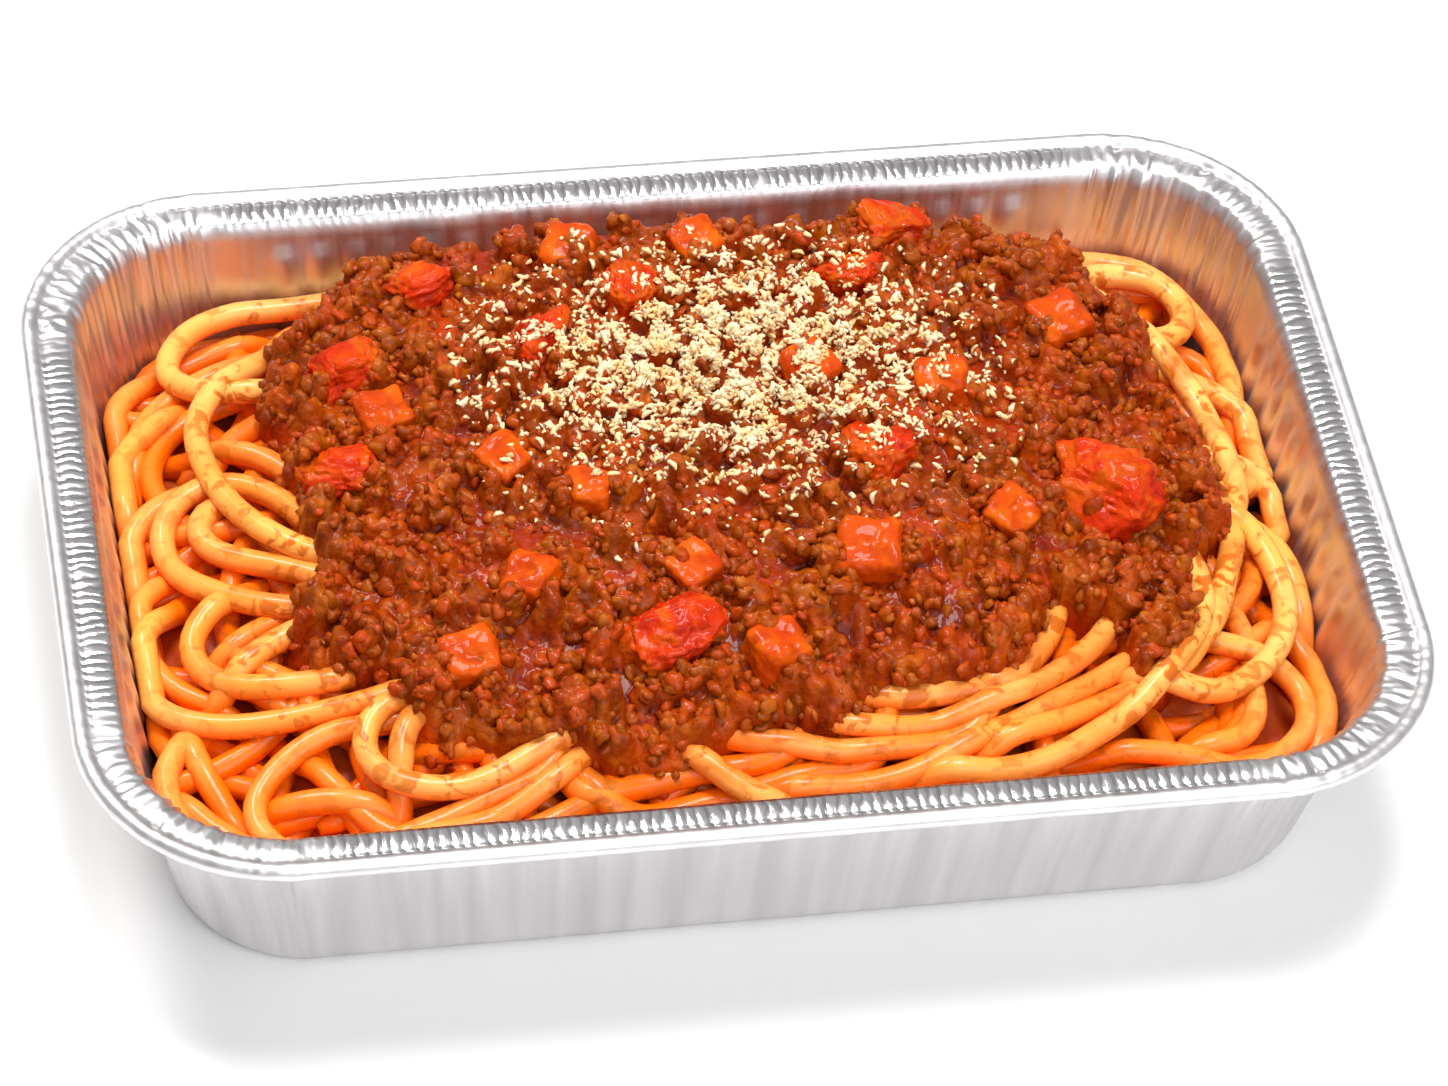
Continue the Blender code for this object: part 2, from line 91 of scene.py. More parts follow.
def smoothStep(low, high, value):
    share = np.clip((np.asarray(value, float) - low) / (high - low), 0.0, 1.0)
    return share * share * (3.0 - 2.0 * share)


def noiseAt(points, scale, seed):
    shifted = np.asarray(points) * scale + (0.0, 0.0, seed)
    return np.array([noise.noise(Vector(place)) for place in shifted])


# Shades a piece smooth, gives it its material, hides the solids that it replaces, and hangs it on the body
# "root"
def finishPiece(obj, material, slotName, *nodes):
    pick(obj)
    bpy.ops.object.shade_smooth()
    obj.data.materials.clear()
    obj.data.materials.append(material)
    if nodes:
        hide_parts(*nodes)
    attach(obj, "root")


# Camera at the photograph's angle, soft studio light and a pale floor

cameraSet = {
    "azimuth": -13.248,
    "elevation": 46.002,
    "roll": -5.233,
    "shift": (-3.592, -17.364, -1044.5),  # the tray's base centre as the camera sees it, mm
    "lens": 158.49,
}


def makeCamera():
    turn, tilt, roll = (math.radians(cameraSet[key]) for key in ("azimuth", "elevation", "roll"))
    back = Vector((math.sin(turn) * math.cos(tilt), -math.cos(turn) * math.cos(tilt), math.sin(tilt)))
    right = Vector((math.cos(turn), math.sin(turn), 0.0))
    view = Matrix.Rotation(roll, 3, "Z") @ Matrix((right, back.cross(right), back))
    away = Vector(cameraSet["shift"]) * mm
    bpy.ops.object.camera_add()
    camera = bpy.context.object
    camera.name = "photoCamera"
    camera.matrix_world = Matrix.Translation(-(view.transposed() @ away)) @ view.transposed().to_4x4()
    camera.data.lens = cameraSet["lens"]
    camera.data.sensor_width = 36.0
    bpy.context.scene.camera = camera


lamps = {
    "keyBackLeft": {"place": (-0.46, 0.62, 1.12), "size": 0.32, "power": 8.0, "tint": (1.0, 0.97, 0.93)},
    "fillFrontRight": {"place": (0.45, -0.95, 0.85), "size": 1.0, "power": 9.0, "tint": (0.97, 0.98, 1.0)},
    "topSoft": {"place": (0.05, 0.15, 1.3), "size": 0.42, "power": 12.0, "tint": (1.0, 0.99, 0.97)},
}

# The sky's brightness from the horizon up, uneven so that the foil has something to mirror
worldSet = {
    "strength": 0.58,
    "sky": [(0.0, 0.8), (0.08, 0.45), (0.40, 0.85), (0.72, 0.75), (0.95, 1.2)],
}


def makeLights():
    for name, setting in lamps.items():
        bpy.ops.object.light_add(type="AREA", location=setting["place"])
        lamp = bpy.context.object
        lamp.name = name
        lamp.data.size = setting["size"]
        lamp.data.energy = setting["power"]
        lamp.data.color = setting["tint"]
        lamp.rotation_euler = Vector(setting["place"]).to_track_quat("Z", "Y").to_euler()
    world = bpy.data.worlds.new("studio")
    world.use_nodes = True
    background = world.node_tree.nodes["Background"]
    where = world.node_tree.nodes.new("ShaderNodeTexCoord")
    parts = world.node_tree.nodes.new("ShaderNodeSeparateXYZ")
    world.node_tree.links.new(where.outputs["Generated"], parts.inputs["Vector"])
    sky = rampNode(world.node_tree, parts.outputs["Z"], worldSet["sky"])
    world.node_tree.links.new(sky, background.inputs["Color"])
    background.inputs["Strength"].default_value = worldSet["strength"]
    bpy.context.scene.world = world
    bpy.context.scene.view_settings.view_transform = "Standard"


# Materials: a small kit of nodes, then settings for each finish

# The shader's sockets that each setting fills
shaderSockets = {
    "rough": ["Roughness"],
    "metal": ["Metallic"],
    "soft": ["Subsurface Weight", "Subsurface Radius", "Subsurface Scale"],
    "wet": ["Specular IOR Level", "Coat Weight", "Coat Roughness"],
}


def newMaterial(name, setting):
    material = bpy.data.materials.new(name)
    material.use_nodes = True
    shader = material.node_tree.nodes["Principled BSDF"]
    shader.inputs["Base Color"].default_value = (*setting["color"], 1.0)
    for kind, sockets in shaderSockets.items():
        for socket, value in zip(sockets, setting.get(kind, ())):
            shader.inputs[socket].default_value = value
    return material, material.node_tree, shader


def noiseNode(tree, scale, detail, distortion=0.0):
    where = tree.nodes.new("ShaderNodeTexCoord")
    texture = tree.nodes.new("ShaderNodeTexNoise")
    texture.inputs["Scale"].default_value = scale
    texture.inputs["Detail"].default_value = detail
    texture.inputs["Distortion"].default_value = distortion
    tree.links.new(where.outputs["Object"], texture.inputs["Vector"])
    return texture.outputs["Fac"]


# The foil's own map: how far round the tray, and how far up the sheet, in mm
def foilMap(tree):
    layout = tree.nodes.new("ShaderNodeUVMap")
    layout.uv_map = "run"
    return layout.outputs["UV"]


# Noise on the foil's map, drawn out up the sheet
def stretchedNoise(tree, stretch, detail):
    mapping = tree.nodes.new("ShaderNodeMapping")
    mapping.inputs["Scale"].default_value = stretch
    texture = tree.nodes.new("ShaderNodeTexNoise")
    texture.inputs["Scale"].default_value = 1.0
    texture.inputs["Detail"].default_value = detail
    tree.links.new(foilMap(tree), mapping.inputs["Vector"])
    tree.links.new(mapping.outputs["Vector"], texture.inputs["Vector"])
    return texture.outputs["Fac"]


def rampNode(tree, source, stops):
    ramp = tree.nodes.new("ShaderNodeValToRGB")
    while len(ramp.color_ramp.elements) < len(stops):
        ramp.color_ramp.elements.new(0.5)
    for element, (place, color) in zip(ramp.color_ramp.elements, stops):
        element.position = place
        element.color = (*color, 1.0) if isinstance(color, tuple) else (color, color, color, 1.0)
    tree.links.new(source, ramp.inputs["Fac"])
    return ramp.outputs["Color"]


def attributeNode(tree, name):
    node = tree.nodes.new("ShaderNodeAttribute")
    node.attribute_name = name
    return node.outputs["Fac"]


# Noise through a ramp, or an attribute by its name
def shareNode(tree, share):
    if isinstance(share, str):
        return attributeNode(tree, share)
    kind, stops = share
    return rampNode(tree, noiseNode(tree, *kind), stops)


def mathNode(tree, operation, first, second):
    node = tree.nodes.new("ShaderNodeMath")
    node.operation = operation
    tree.links.new(first, node.inputs[0])
    if isinstance(second, float):
        node.inputs[1].default_value = second
    else:
        tree.links.new(second, node.inputs[1])
    return node.outputs["Value"]


def mixNode(tree, share, first, second):
    node = tree.nodes.new("ShaderNodeMix")
    node.data_type = "RGBA"
    shareSocket, firstSocket, secondSocket = node.inputs[0], node.inputs[6], node.inputs[7]
    tree.links.new(share, shareSocket)
    tree.links.new(first, firstSocket)
    if isinstance(second, tuple):
        secondSocket.default_value = (*second, 1.0)
    else:
        tree.links.new(second, secondSocket)
    return node.outputs[2]


def addBump(tree, shader, height, strength, distance):
    bump = tree.nodes.new("ShaderNodeBump")
    bump.inputs["Strength"].default_value = strength
    bump.inputs["Distance"].default_value = distance
    tree.links.new(height, bump.inputs["Height"])
    previous = shader.inputs["Normal"]
    if previous.links:
        tree.links.new(previous.links[0].from_socket, bump.inputs["Normal"])
    tree.links.new(bump.outputs["Normal"], shader.inputs["Normal"])


# Each finish: its flat colour, its shader's settings, a tone from noise (scale, detail, distortion)
# through a ramp, the colours over it with their shares, and its bumps (noise, strength, distance)
finishes = {
    "brightFoil": {
        "color": (0.86, 0.86, 0.87),
        "rough": [0.3],
        "metal": [1.0],
        "bands": [(0.36, (0.66, 0.640, 0.647)), (0.62, (0.76, 0.737, 0.745))],
        "bandStretch": (0.20, 0.010, 1.0),
        "streaks": [(0.3, 0.35), (0.7, 0.49)],
        "streakStretch": (0.55, 0.03, 1.0),
        "rippleShine": 0.2,
        "rippleStretch": (1.3, 0.12, 1.0),
        "rippleBump": (0.55, 0.00024),
        # Painted shade on the rim's ripples: all but the ridge tops are darkened toward a grey
        "pleatShadeLines": [(0.55, 0.65), (0.95, 0.0)],
        "pleatShadeColor": (0.34, 0.325, 0.33),
        "dentStretch": (0.8, 0.05, 1.0),
        "dentBump": (0.10, 0.0003),
        "bumps": [((900.0, 2.0, 0.4), 0.06, 0.0001)],
    },
    "cookedPasta": {
        "color": (0.92, 0.45, 0.07),
        "rough": [0.32],
        "soft": [0.18, (1.0, 0.5, 0.12), 0.002],
        "wet": [0.15, 0.30, 0.13],
        "tone": ((45.0, 3.0), [(0.28, (0.90, 0.41, 0.055)), (0.72, (0.95, 0.54, 0.16))]),
        # The colour over the attribute "depth" is painted shade: strands lying low between the others turn
        # a deeper orange, and at the front it is partly painted shade, partly sauce stain
        "over": [("depth", (0.95, 0.165, 0.001))],
        "smears": ((80.0, 4.0, 1.2), [(0.46, 0.0), (0.68, 0.85)]),
        "smearColor": (0.66, 0.13, 0.006),
        "flecks": ((330.0, 4.0, 0.8), [(0.53, 0.0), (0.62, 0.9)]),
        "fleckColor": (0.60, 0.14, 0.008),
        "farFlecks": 0.40,
        "bumps": [((420.0, 4.0), 0.4, 0.0003)],
    },
    # Pasta far down between the strands: darker and redder, as painted shade
    "paintedShadePasta": {
        "color": (0.60, 0.09, 0.002),
        "rough": [0.45],
        "tone": ((150.0, 4.0), [(0.3, (0.40, 0.04, 0.001)), (0.7, (0.72, 0.14, 0.004))]),
        "bumps": [((260.0, 4.0), 0.6, 0.0006)],
    },
    # Sauce between the mince: browner where the attribute "meat" is high, and darkened to a near-black red
    # in the hollows as painted shade
    "tomatoSauce": {
        "color": (0.36, 0.04, 0.005),
        "rough": [0.28],
        "wet": [0.08, 0.20, 0.06],
        "tone": (
            (90.0, 5.0, 0.6),
            [(0.34, (0.21, 0.012, 0.0005)), (0.52, (0.40, 0.032, 0.0005)), (0.70, (0.56, 0.076, 0.001))],
        ),
        "meat": (
            (260.0, 5.0, 0.5),
            [(0.30, (0.15, 0.018, 0.0005)), (0.50, (0.30, 0.052, 0.001)), (0.72, (0.50, 0.12, 0.005))],
        ),
        "hollowShadeShare": 0.8,
        "hollowShadeColor": (0.085, 0.006, 0.0005),
        "crumbScale": 720.0,
        "crumbStops": [(0.0, 1.0), (0.65, 0.0)],
        "crumbBump": (0.55, 0.0005),
        "bumps": [((900.0, 5.0, 0.3), 0.7, 0.0006)],
    },
    "mincedMeat": {
        "color": (0.38, 0.09, 0.015),
        "rough": [0.42],
        "wet": [0.12, 0.22, 0.06],
        "tone": (
            (240.0, 4.0, 0.5),
            [(0.28, (0.15, 0.018, 0.0005)), (0.50, (0.30, 0.053, 0.001)), (0.74, (0.50, 0.13, 0.006))],
        ),
        "over": [("tone", (0.44, 0.047, 0.001))],
        "bumps": [((900.0, 4.0), 0.55, 0.0004)],
    },
    "wetTomato": {
        "color": (0.70, 0.04, 0.006),
        "rough": [0.25],
        "soft": [0.04, (1.0, 0.2, 0.05), 0.002],
        "wet": [0.05, 0.16, 0.04],
        "tone": (
            (150.0, 5.0, 0.8),
            [(0.30, (0.38, 0.010, 0.0005)), (0.50, (0.55, 0.028, 0.0005)), (0.70, (0.68, 0.11, 0.002))],
        ),
        "over": [(((140.0, 5.0, 0.5), [(0.50, 0.0), (0.62, 0.9)]), (0.56, 0.085, 0.003))],
        "bumps": [((480.0, 6.0, 0.6), 0.8, 0.0008)],
    },
    "wetCarrot": {
        "color": (0.80, 0.12, 0.002),
        "rough": [0.42],
        "soft": [0.06, (1.0, 0.35, 0.05), 0.002],
        "wet": [0.04, 0.20, 0.05],
        "tone": (
            (170.0, 4.0, 0.4),
            [(0.28, (0.47, 0.030, 0.0005)), (0.52, (0.60, 0.075, 0.0005)), (0.78, (0.70, 0.14, 0.002))],
        ),
        "over": [(((230.0, 4.0, 0.8), [(0.48, 0.0), (0.62, 0.85)]), (0.42, 0.036, 0.0005))],
        "bumps": [((700.0, 4.0), 0.35, 0.0005)],
    },
    "gratedCheese": {
        "color": (0.97, 0.84, 0.60),
        "rough": [0.5],
        "soft": [0.3, (1.0, 0.8, 0.5), 0.001],
        "tone": ((260.0, 3.0), [(0.3, (0.93, 0.54, 0.20)), (0.62, (0.98, 0.80, 0.50))]),
        "bumps": [((1300.0, 2.0), 0.3, 0.0002)],
    },
    "paleFloor": {
        "color": (0.96, 0.96, 0.96),
        "rough": [0.7],
        "tone": ((6.0, 2.0), [(0.4, (0.95, 0.95, 0.95)), (0.6, (0.97, 0.97, 0.97))]),
        "bumps": [],
    },
}


def foilMaterial():
    setting = finishes["brightFoil"]
    material, tree, shader = newMaterial("brightFoil", setting)
    tone = rampNode(tree, stretchedNoise(tree, setting["bandStretch"], 2.0), setting["bands"])
    streaks = rampNode(tree, stretchedNoise(tree, setting["streakStretch"], 3.0), setting["streaks"])
    shine = mathNode(tree, "MULTIPLY", attributeNode(tree, "ripple"), setting["rippleShine"])
    tree.links.new(mathNode(tree, "SUBTRACT", streaks, shine), shader.inputs["Roughness"])
    wave = tree.nodes.new("ShaderNodeTexWave")
    # A wave texture's bands are 2 pi / 20 / its scale apart
    wave.inputs["Scale"].default_value = 2 * math.pi / 20 / trayInfo["ripplePitch"]
    wave.inputs["Distortion"].default_value = 5.0
    wave.inputs["Detail"].default_value = 2.0
    tree.links.new(foilMap(tree), wave.inputs["Vector"])
    rough = stretchedNoise(tree, setting["rippleStretch"], 4.0)
    uneven = mathNode(tree, "ADD", wave.outputs["Fac"], rough)
    ripples = mathNode(tree, "MULTIPLY", uneven, attributeNode(tree, "ripple"))
    addBump(tree, shader, ripples, *setting["rippleBump"])
    # Painted shade: the ripples' grooves are darkened toward a grey, and their ridge tops are left bright
    grooveShade = rampNode(tree, uneven, setting["pleatShadeLines"])
    pleatShade = mathNode(tree, "MULTIPLY", grooveShade, attributeNode(tree, "ripple"))
    tree.links.new(mixNode(tree, pleatShade, tone, setting["pleatShadeColor"]), shader.inputs["Base Color"])
    addBump(tree, shader, stretchedNoise(tree, setting["dentStretch"], 3.0), *setting["dentBump"])
    addFineBumps(tree, shader, setting)
    return material


def addFineBumps(tree, shader, setting):
    for kind, strength, distance in setting["bumps"]:
        addBump(tree, shader, noiseNode(tree, *kind), strength, distance)


# The tone of a finish with the colours over it
def baseTone(tree, setting):
    tone = shareNode(tree, setting["tone"])
    for share, color in setting.get("over", []):
        tone = mixNode(tree, shareNode(tree, share), tone, color)
    return tone


def pastaMaterial():
    setting = finishes["cookedPasta"]
    material, tree, shader = newMaterial("cookedPasta", setting)
    # The pasta's tone with the painted shade of the attribute "depth" over it
    paintedShade = baseTone(tree, setting)
    coated = mathNode(tree, "MULTIPLY", shareNode(tree, setting["smears"]), attributeNode(tree, "sauced"))
    stained = mixNode(tree, coated, paintedShade, setting["smearColor"])
    nearSauce = mathNode(tree, "ADD", attributeNode(tree, "sauced"), setting["farFlecks"])
    flecked = mathNode(tree, "MULTIPLY", shareNode(tree, setting["flecks"]), nearSauce)
    tree.links.new(mixNode(tree, flecked, stained, setting["fleckColor"]), shader.inputs["Base Color"])
    addFineBumps(tree, shader, setting)
    return material


def sauceMaterial():
    setting = finishes["tomatoSauce"]
    material, tree, shader = newMaterial("tomatoSauce", setting)
    meat = shareNode(tree, setting["meat"])
    blend = mixNode(tree, attributeNode(tree, "meat"), baseTone(tree, setting), meat)
    # Painted shade: the hollows are darkened toward a near-black red
    sunk = mathNode(tree, "MULTIPLY", attributeNode(tree, "hollow"), setting["hollowShadeShare"])
    tree.links.new(mixNode(tree, sunk, blend, setting["hollowShadeColor"]), shader.inputs["Base Color"])
    where = tree.nodes.new("ShaderNodeTexCoord")
    crumbs = tree.nodes.new("ShaderNodeTexVoronoi")
    crumbs.inputs["Scale"].default_value = setting["crumbScale"]
    crumbs.feature = "SMOOTH_F1"
    tree.links.new(where.outputs["Object"], crumbs.inputs["Vector"])
    rounded = rampNode(tree, crumbs.outputs["Distance"], setting["crumbStops"])
    addBump(tree, shader, rounded, *setting["crumbBump"])
    addFineBumps(tree, shader, setting)
    return material


# A finish that needs no more than its tone, the colours over it and its bumps
def simpleMaterial(name):
    setting = finishes[name]
    material, tree, shader = newMaterial(name, setting)
    tree.links.new(baseTone(tree, setting), shader.inputs["Base Color"])
    addFineBumps(tree, shader, setting)
    return material


def makeFloor():
    bpy.ops.mesh.primitive_plane_add(size=6.0, location=(0.0, 0.0, -0.0002))
    floor = bpy.context.object
    floor.name = "floor"
    floor.data.materials.append(simpleMaterial("paleFloor"))


# The foil tray: one sheet from the base's middle, up the wall, round the rim and down inside

trayInfo = {
    "halfX": 107.0, "halfY": 75.0, "height": 40.0,
    "rimCorner": 32.0, "rimWidth": 7.9, "bead": 2.9,
    "baseHalfX": 91.0, "baseHalfY": 59.2, "baseCorner": 21.0,
    "sheet": 0.3,
    "ripplePitch": 1.8,
    "flutePitch": 6.2, "fluteDepth": 0.8, "fluteTop": 31.0, "fluteArch": 2.6, "plainPanel": 9.5,
    "wrinkleDepth": 1.0, "waveDepth": 0.10, "pleatDepth": 0.26, "pleatWave": 0.05,
    "cornerArc": 28.0,  # the corner's mean radius, for the run along it
    "cornerSteps": 128, "longSteps": 190, "shortSteps": 110,
}


def wallSize(z):
    share = z / trayInfo["height"]
    top = trayInfo["rimWidth"] + 0.2
    halfX = trayInfo["baseHalfX"] + share * (trayInfo["halfX"] - top - trayInfo["baseHalfX"])
    halfY = trayInfo["baseHalfY"] + share * (trayInfo["halfY"] - top - trayInfo["baseHalfY"])
    corner = trayInfo["baseCorner"] + share * (trayInfo["rimCorner"] - top - trayInfo["baseCorner"])
    return halfX, halfY, corner


def rimSize(inset):
    return trayInfo["halfX"] - inset, trayInfo["halfY"] - inset, trayInfo["rimCorner"] - inset


# Places round the tray: the corner that each belongs to, its heading and its run along the rim
def stations():
    corners = ((1, 1), (-1, 1), (-1, -1), (1, -1))
    rows = []
    run = 0.0
    for k, (sx, sy) in enumerate(corners):
        steps = trayInfo["cornerSteps"]
        arc = math.pi / 2 * trayInfo["cornerArc"]
        for step in range(steps):
            share = step / steps
            heading = math.pi / 2 * (k + share)
            edge = min(share, 1 - share) * arc
            rows.append((sx, sy, heading, run + share * arc, 1.0, -edge))
        run += arc
        nx, ny = corners[(k + 1) % 4]
        long = k % 2 == 0
        steps = trayInfo["longSteps"] if long else trayInfo["shortSteps"]
        length = 2 * ((trayInfo["halfX"] if long else trayInfo["halfY"]) - trayInfo["rimCorner"])
        for step in range(steps):
            share = step / steps
            edge = min(share, 1 - share) * length
            rows.append((sx + (nx - sx) * share, sy + (ny - sy) * share, math.pi / 2 * (k + 1),
                         run + share * length, 0.0, edge))
        run += length
    return np.array(rows), run


# Rows up the foil: the size there, the height, and how much flute, wrinkle, pleat and ripple it has
def trayProfile():
    top = trayInfo["height"]
    sheet = trayInfo["sheet"]
    rows = []

    def add(size, z, flute=0.0, wrinkle=0.0, pleat=0.0, ripple=0.0):
        rows.append((size, z, flute, wrinkle, pleat, ripple))

    for share in (0.01, 0.4, 0.8, 0.95):
        size = tuple((side - 1.8) * share for side in wallSize(0.0))
        add(size, 0.35 if share < 0.9 else 0.0)
    for inset, z in ((1.7, 0.0), (0.9, 0.2), (0.3, 0.8), (0.0, 1.9)):
        halfX, halfY, corner = wallSize(z)
        add((halfX - inset, halfY - inset, corner - inset), z, 0.0, 0.12)
    for z in np.linspace(3.0, top - 2.6, 17):
        add(wallSize(z), z, 1.0, 0.35 + 0.65 * z / top)
    add(rimSize(trayInfo["rimWidth"] - 0.6), top - 1.25, 0.0, 0.35, 0.5)
    add(rimSize(5.5), top - 1.15, 0.0, 0.0, 1.0)
    add(rimSize(trayInfo["bead"] + 0.3), top - 1.2, 0.0, 0.0, 0.8)
    radius = trayInfo["bead"] / 2
    for angle in np.linspace(-150, 150, 14):  # the rolled bead, from underneath round to the flange
        inset = radius - radius * math.cos(math.radians(angle))
        add(rimSize(inset), top - radius + radius * math.sin(math.radians(angle)), 0.0, 0.0, 0.45)
    for share in np.linspace(0.0, 1.0, 8):
        inset = trayInfo["bead"] + 0.35 + share * (trayInfo["rimWidth"] - trayInfo["bead"] - 1.1)
        add(rimSize(inset), top - 0.95 + 0.25 * math.sin(math.pi * share), 0.0, 0.0, 1.0, 1.0)
    add(rimSize(trayInfo["rimWidth"] - 0.1), top - 1.15, 0.0, 0.2, 0.8, 0.6)
    add(rimSize(trayInfo["rimWidth"] + 0.25), top - 1.6, 0.0, 0.6, 0.2, 0.2)
    for z in np.linspace(top - 2.7, 3.0, 25):
        halfX, halfY, corner = wallSize(z)
        add((halfX - sheet, halfY - sheet, corner - sheet), z, 1.0, 0.35 + 0.65 * z / top)
    for inset, z in ((0.5, 1.6), (1.2, 0.8), (2.2, 0.5)):
        halfX, halfY, corner = wallSize(z)
        add((halfX - inset, halfY - inset, corner - inset), z)
    halfX, halfY, corner = wallSize(0.5)
    add(((halfX - 2.2) * 0.5, (halfY - 2.2) * 0.5, (corner - 2.2) * 0.5), 0.6)
    add(((halfX - 2.2) * 0.01, (halfY - 2.2) * 0.01, (corner - 2.2) * 0.01), 0.6)
    return rows


# Sharp folds that run up the wall and drift a little sideways
def ridged(run, height, pitch, seed):
    values = [noise.noise(Vector((r / pitch, h, seed))) for r, h in zip(run, height)]
    return 1.0 - 2.6 * np.abs(values)


def makeTray():
    places, total = stations()
    rows = trayProfile()
    around, up = len(places), len(rows)
    bpy.ops.mesh.primitive_grid_add(x_subdivisions=around, y_subdivisions=up - 1, size=1.0)
    tray = bpy.context.object
    tray.name = "foilTray"
    fx, fy, heading, run, inCorner, edge = places.T
    cornerShare = np.where(inCorner > 0.5, 1.0, 1.0 - smoothStep(0.0, 8.0, edge))
    wrinkleShare = np.where(inCorner > 0.5, 1.0, 1.0 - smoothStep(-1.0, 5.0, edge))
    straightRun = np.where(inCorner > 0.5, 0.0, edge - trayInfo["plainPanel"])
    phase = straightRun / trayInfo["flutePitch"]
    across = 2.0 * (phase - np.floor(phase)) - 1.0
    rib = np.where(straightRun > 0, np.cos(across * math.pi / 2) ** 1.3, 0.0)
    archTop = trayInfo["fluteTop"] + trayInfo["fluteArch"] * np.sqrt(np.maximum(0.0, 1.0 - across**2))
    points = np.empty((up, around, 3))
    ripple = np.empty((up, around))
    layout = np.empty((up, around, 2))
    length = 0.0
    for j, (size, z, flute, wrinkle, pleat, rippleHere) in enumerate(rows):
        halfX, halfY, corner = size
        x = fx * (halfX - corner) + corner * np.cos(heading)
        y = fy * (halfY - corner) + corner * np.sin(heading)
        heights = np.full(around, float(z))
        outward = np.zeros(around)
        if flute:
            window = smoothStep(-0.8, 0.8, archTop - z) * smoothStep(3.0, 7.0, z)
            outward -= trayInfo["fluteDepth"] * rib * window * flute
        if wrinkle:
            drift = np.full(around, z * 0.045)
            folds = ridged(run, drift, 2.3, 3.1) * 0.55 + ridged(run, drift * 1.7, 1.15, 9.7) * 0.25
            outward += trayInfo["wrinkleDepth"] * wrinkle * wrinkleShare * (folds - 0.35)
            waves = np.array([noise.noise(Vector((r * 0.11, z * 0.13, 5.0))) for r in run])
            outward += trayInfo["waveDepth"] * waves
        if pleat:
            folds = ridged(run, np.full(around, j * 0.12), 1.9, 6.3)
            waves = np.array([noise.noise(Vector((r * 0.35, j * 0.3, 2.0))) for r in run])
            heights += trayInfo["pleatDepth"] * pleat * wrinkleShare * (folds - 0.4)
            heights += trayInfo["pleatWave"] * pleat * waves
        points[j, :, 0] = x + outward * np.cos(heading)
        points[j, :, 1] = y + outward * np.sin(heading)
        points[j, :, 2] = np.clip(heights, 0.0, trayInfo["height"])
        ripple[j] = rippleHere * (1.0 - 0.6 * cornerShare)
        if j:
            length += math.dist((rows[j - 1][0][0], rows[j - 1][1]), (size[0], z))
        layout[j, :, 0] = run
        layout[j, :, 1] = length
    closed = np.concatenate([points, points[:, :1]], axis=1)
    setPoints(tray, closed.reshape(-1, 3))
    setAttribute(tray, "ripple", np.concatenate([ripple, ripple[:, :1]], axis=1).ravel())
    layout = np.concatenate([layout, layout[:, :1] + (total, 0.0)], axis=1).reshape(-1, 2)
    corners = np.empty(len(tray.data.loops), np.int32)
    tray.data.loops.foreach_get("vertex_index", corners)
    tray.data.uv_layers[0].name = "run"
    tray.data.uv_layers["run"].data.foreach_set("uv", layout[corners].astype(np.float32).ravel())
    edit(tray)
    bpy.ops.mesh.remove_doubles(threshold=0.000005)
    closeSheet()
    finishPiece(tray, foilMaterial(), "foil", "tray")
    print("foil tray:", countTriangles(tray), "triangles")


# Heights of the food

foodInfo = {
    "edgeZ": 28.0, "rise": 13.0, "halfX": 97.0, "halfY": 67.0,
    "strand": 4.1, "pile": 1.45,  # strands press into each other, so they pile up less than their width
    "strandGap": 0.9,  # room between the strands and the foil
    "bedDrop": 12.0, "bedGap": 1.2, "bedDepth": 12.0, "bedBumps": 1.4,
    "heapX": 100.0, "heapY": 72.0,  # how far the heap reaches from the middle
}


def moundHeight(x, y):
    share = np.minimum(1.0, (np.abs(x) / foodInfo["halfX"]) ** 3 + (np.abs(y) / foodInfo["halfY"]) ** 3)
    return foodInfo["edgeZ"] + foodInfo["rise"] * (1.0 - share)


# Pulls plan points back until they are room inside the wall, as wide as it is at the height z
def keepInside(points, room, z=29.0):
    halfX, halfY, corner = wallSize(np.broadcast_to(z, len(points)))
    limit = np.column_stack([halfX - corner, halfY - corner])
    centre = np.clip(points, -limit, limit)
    away = points - centre
    reach = np.maximum(np.hypot(away[:, 0], away[:, 1]), 0.001)
    return centre + away * np.minimum(1.0, (corner - room) / reach)[:, None]


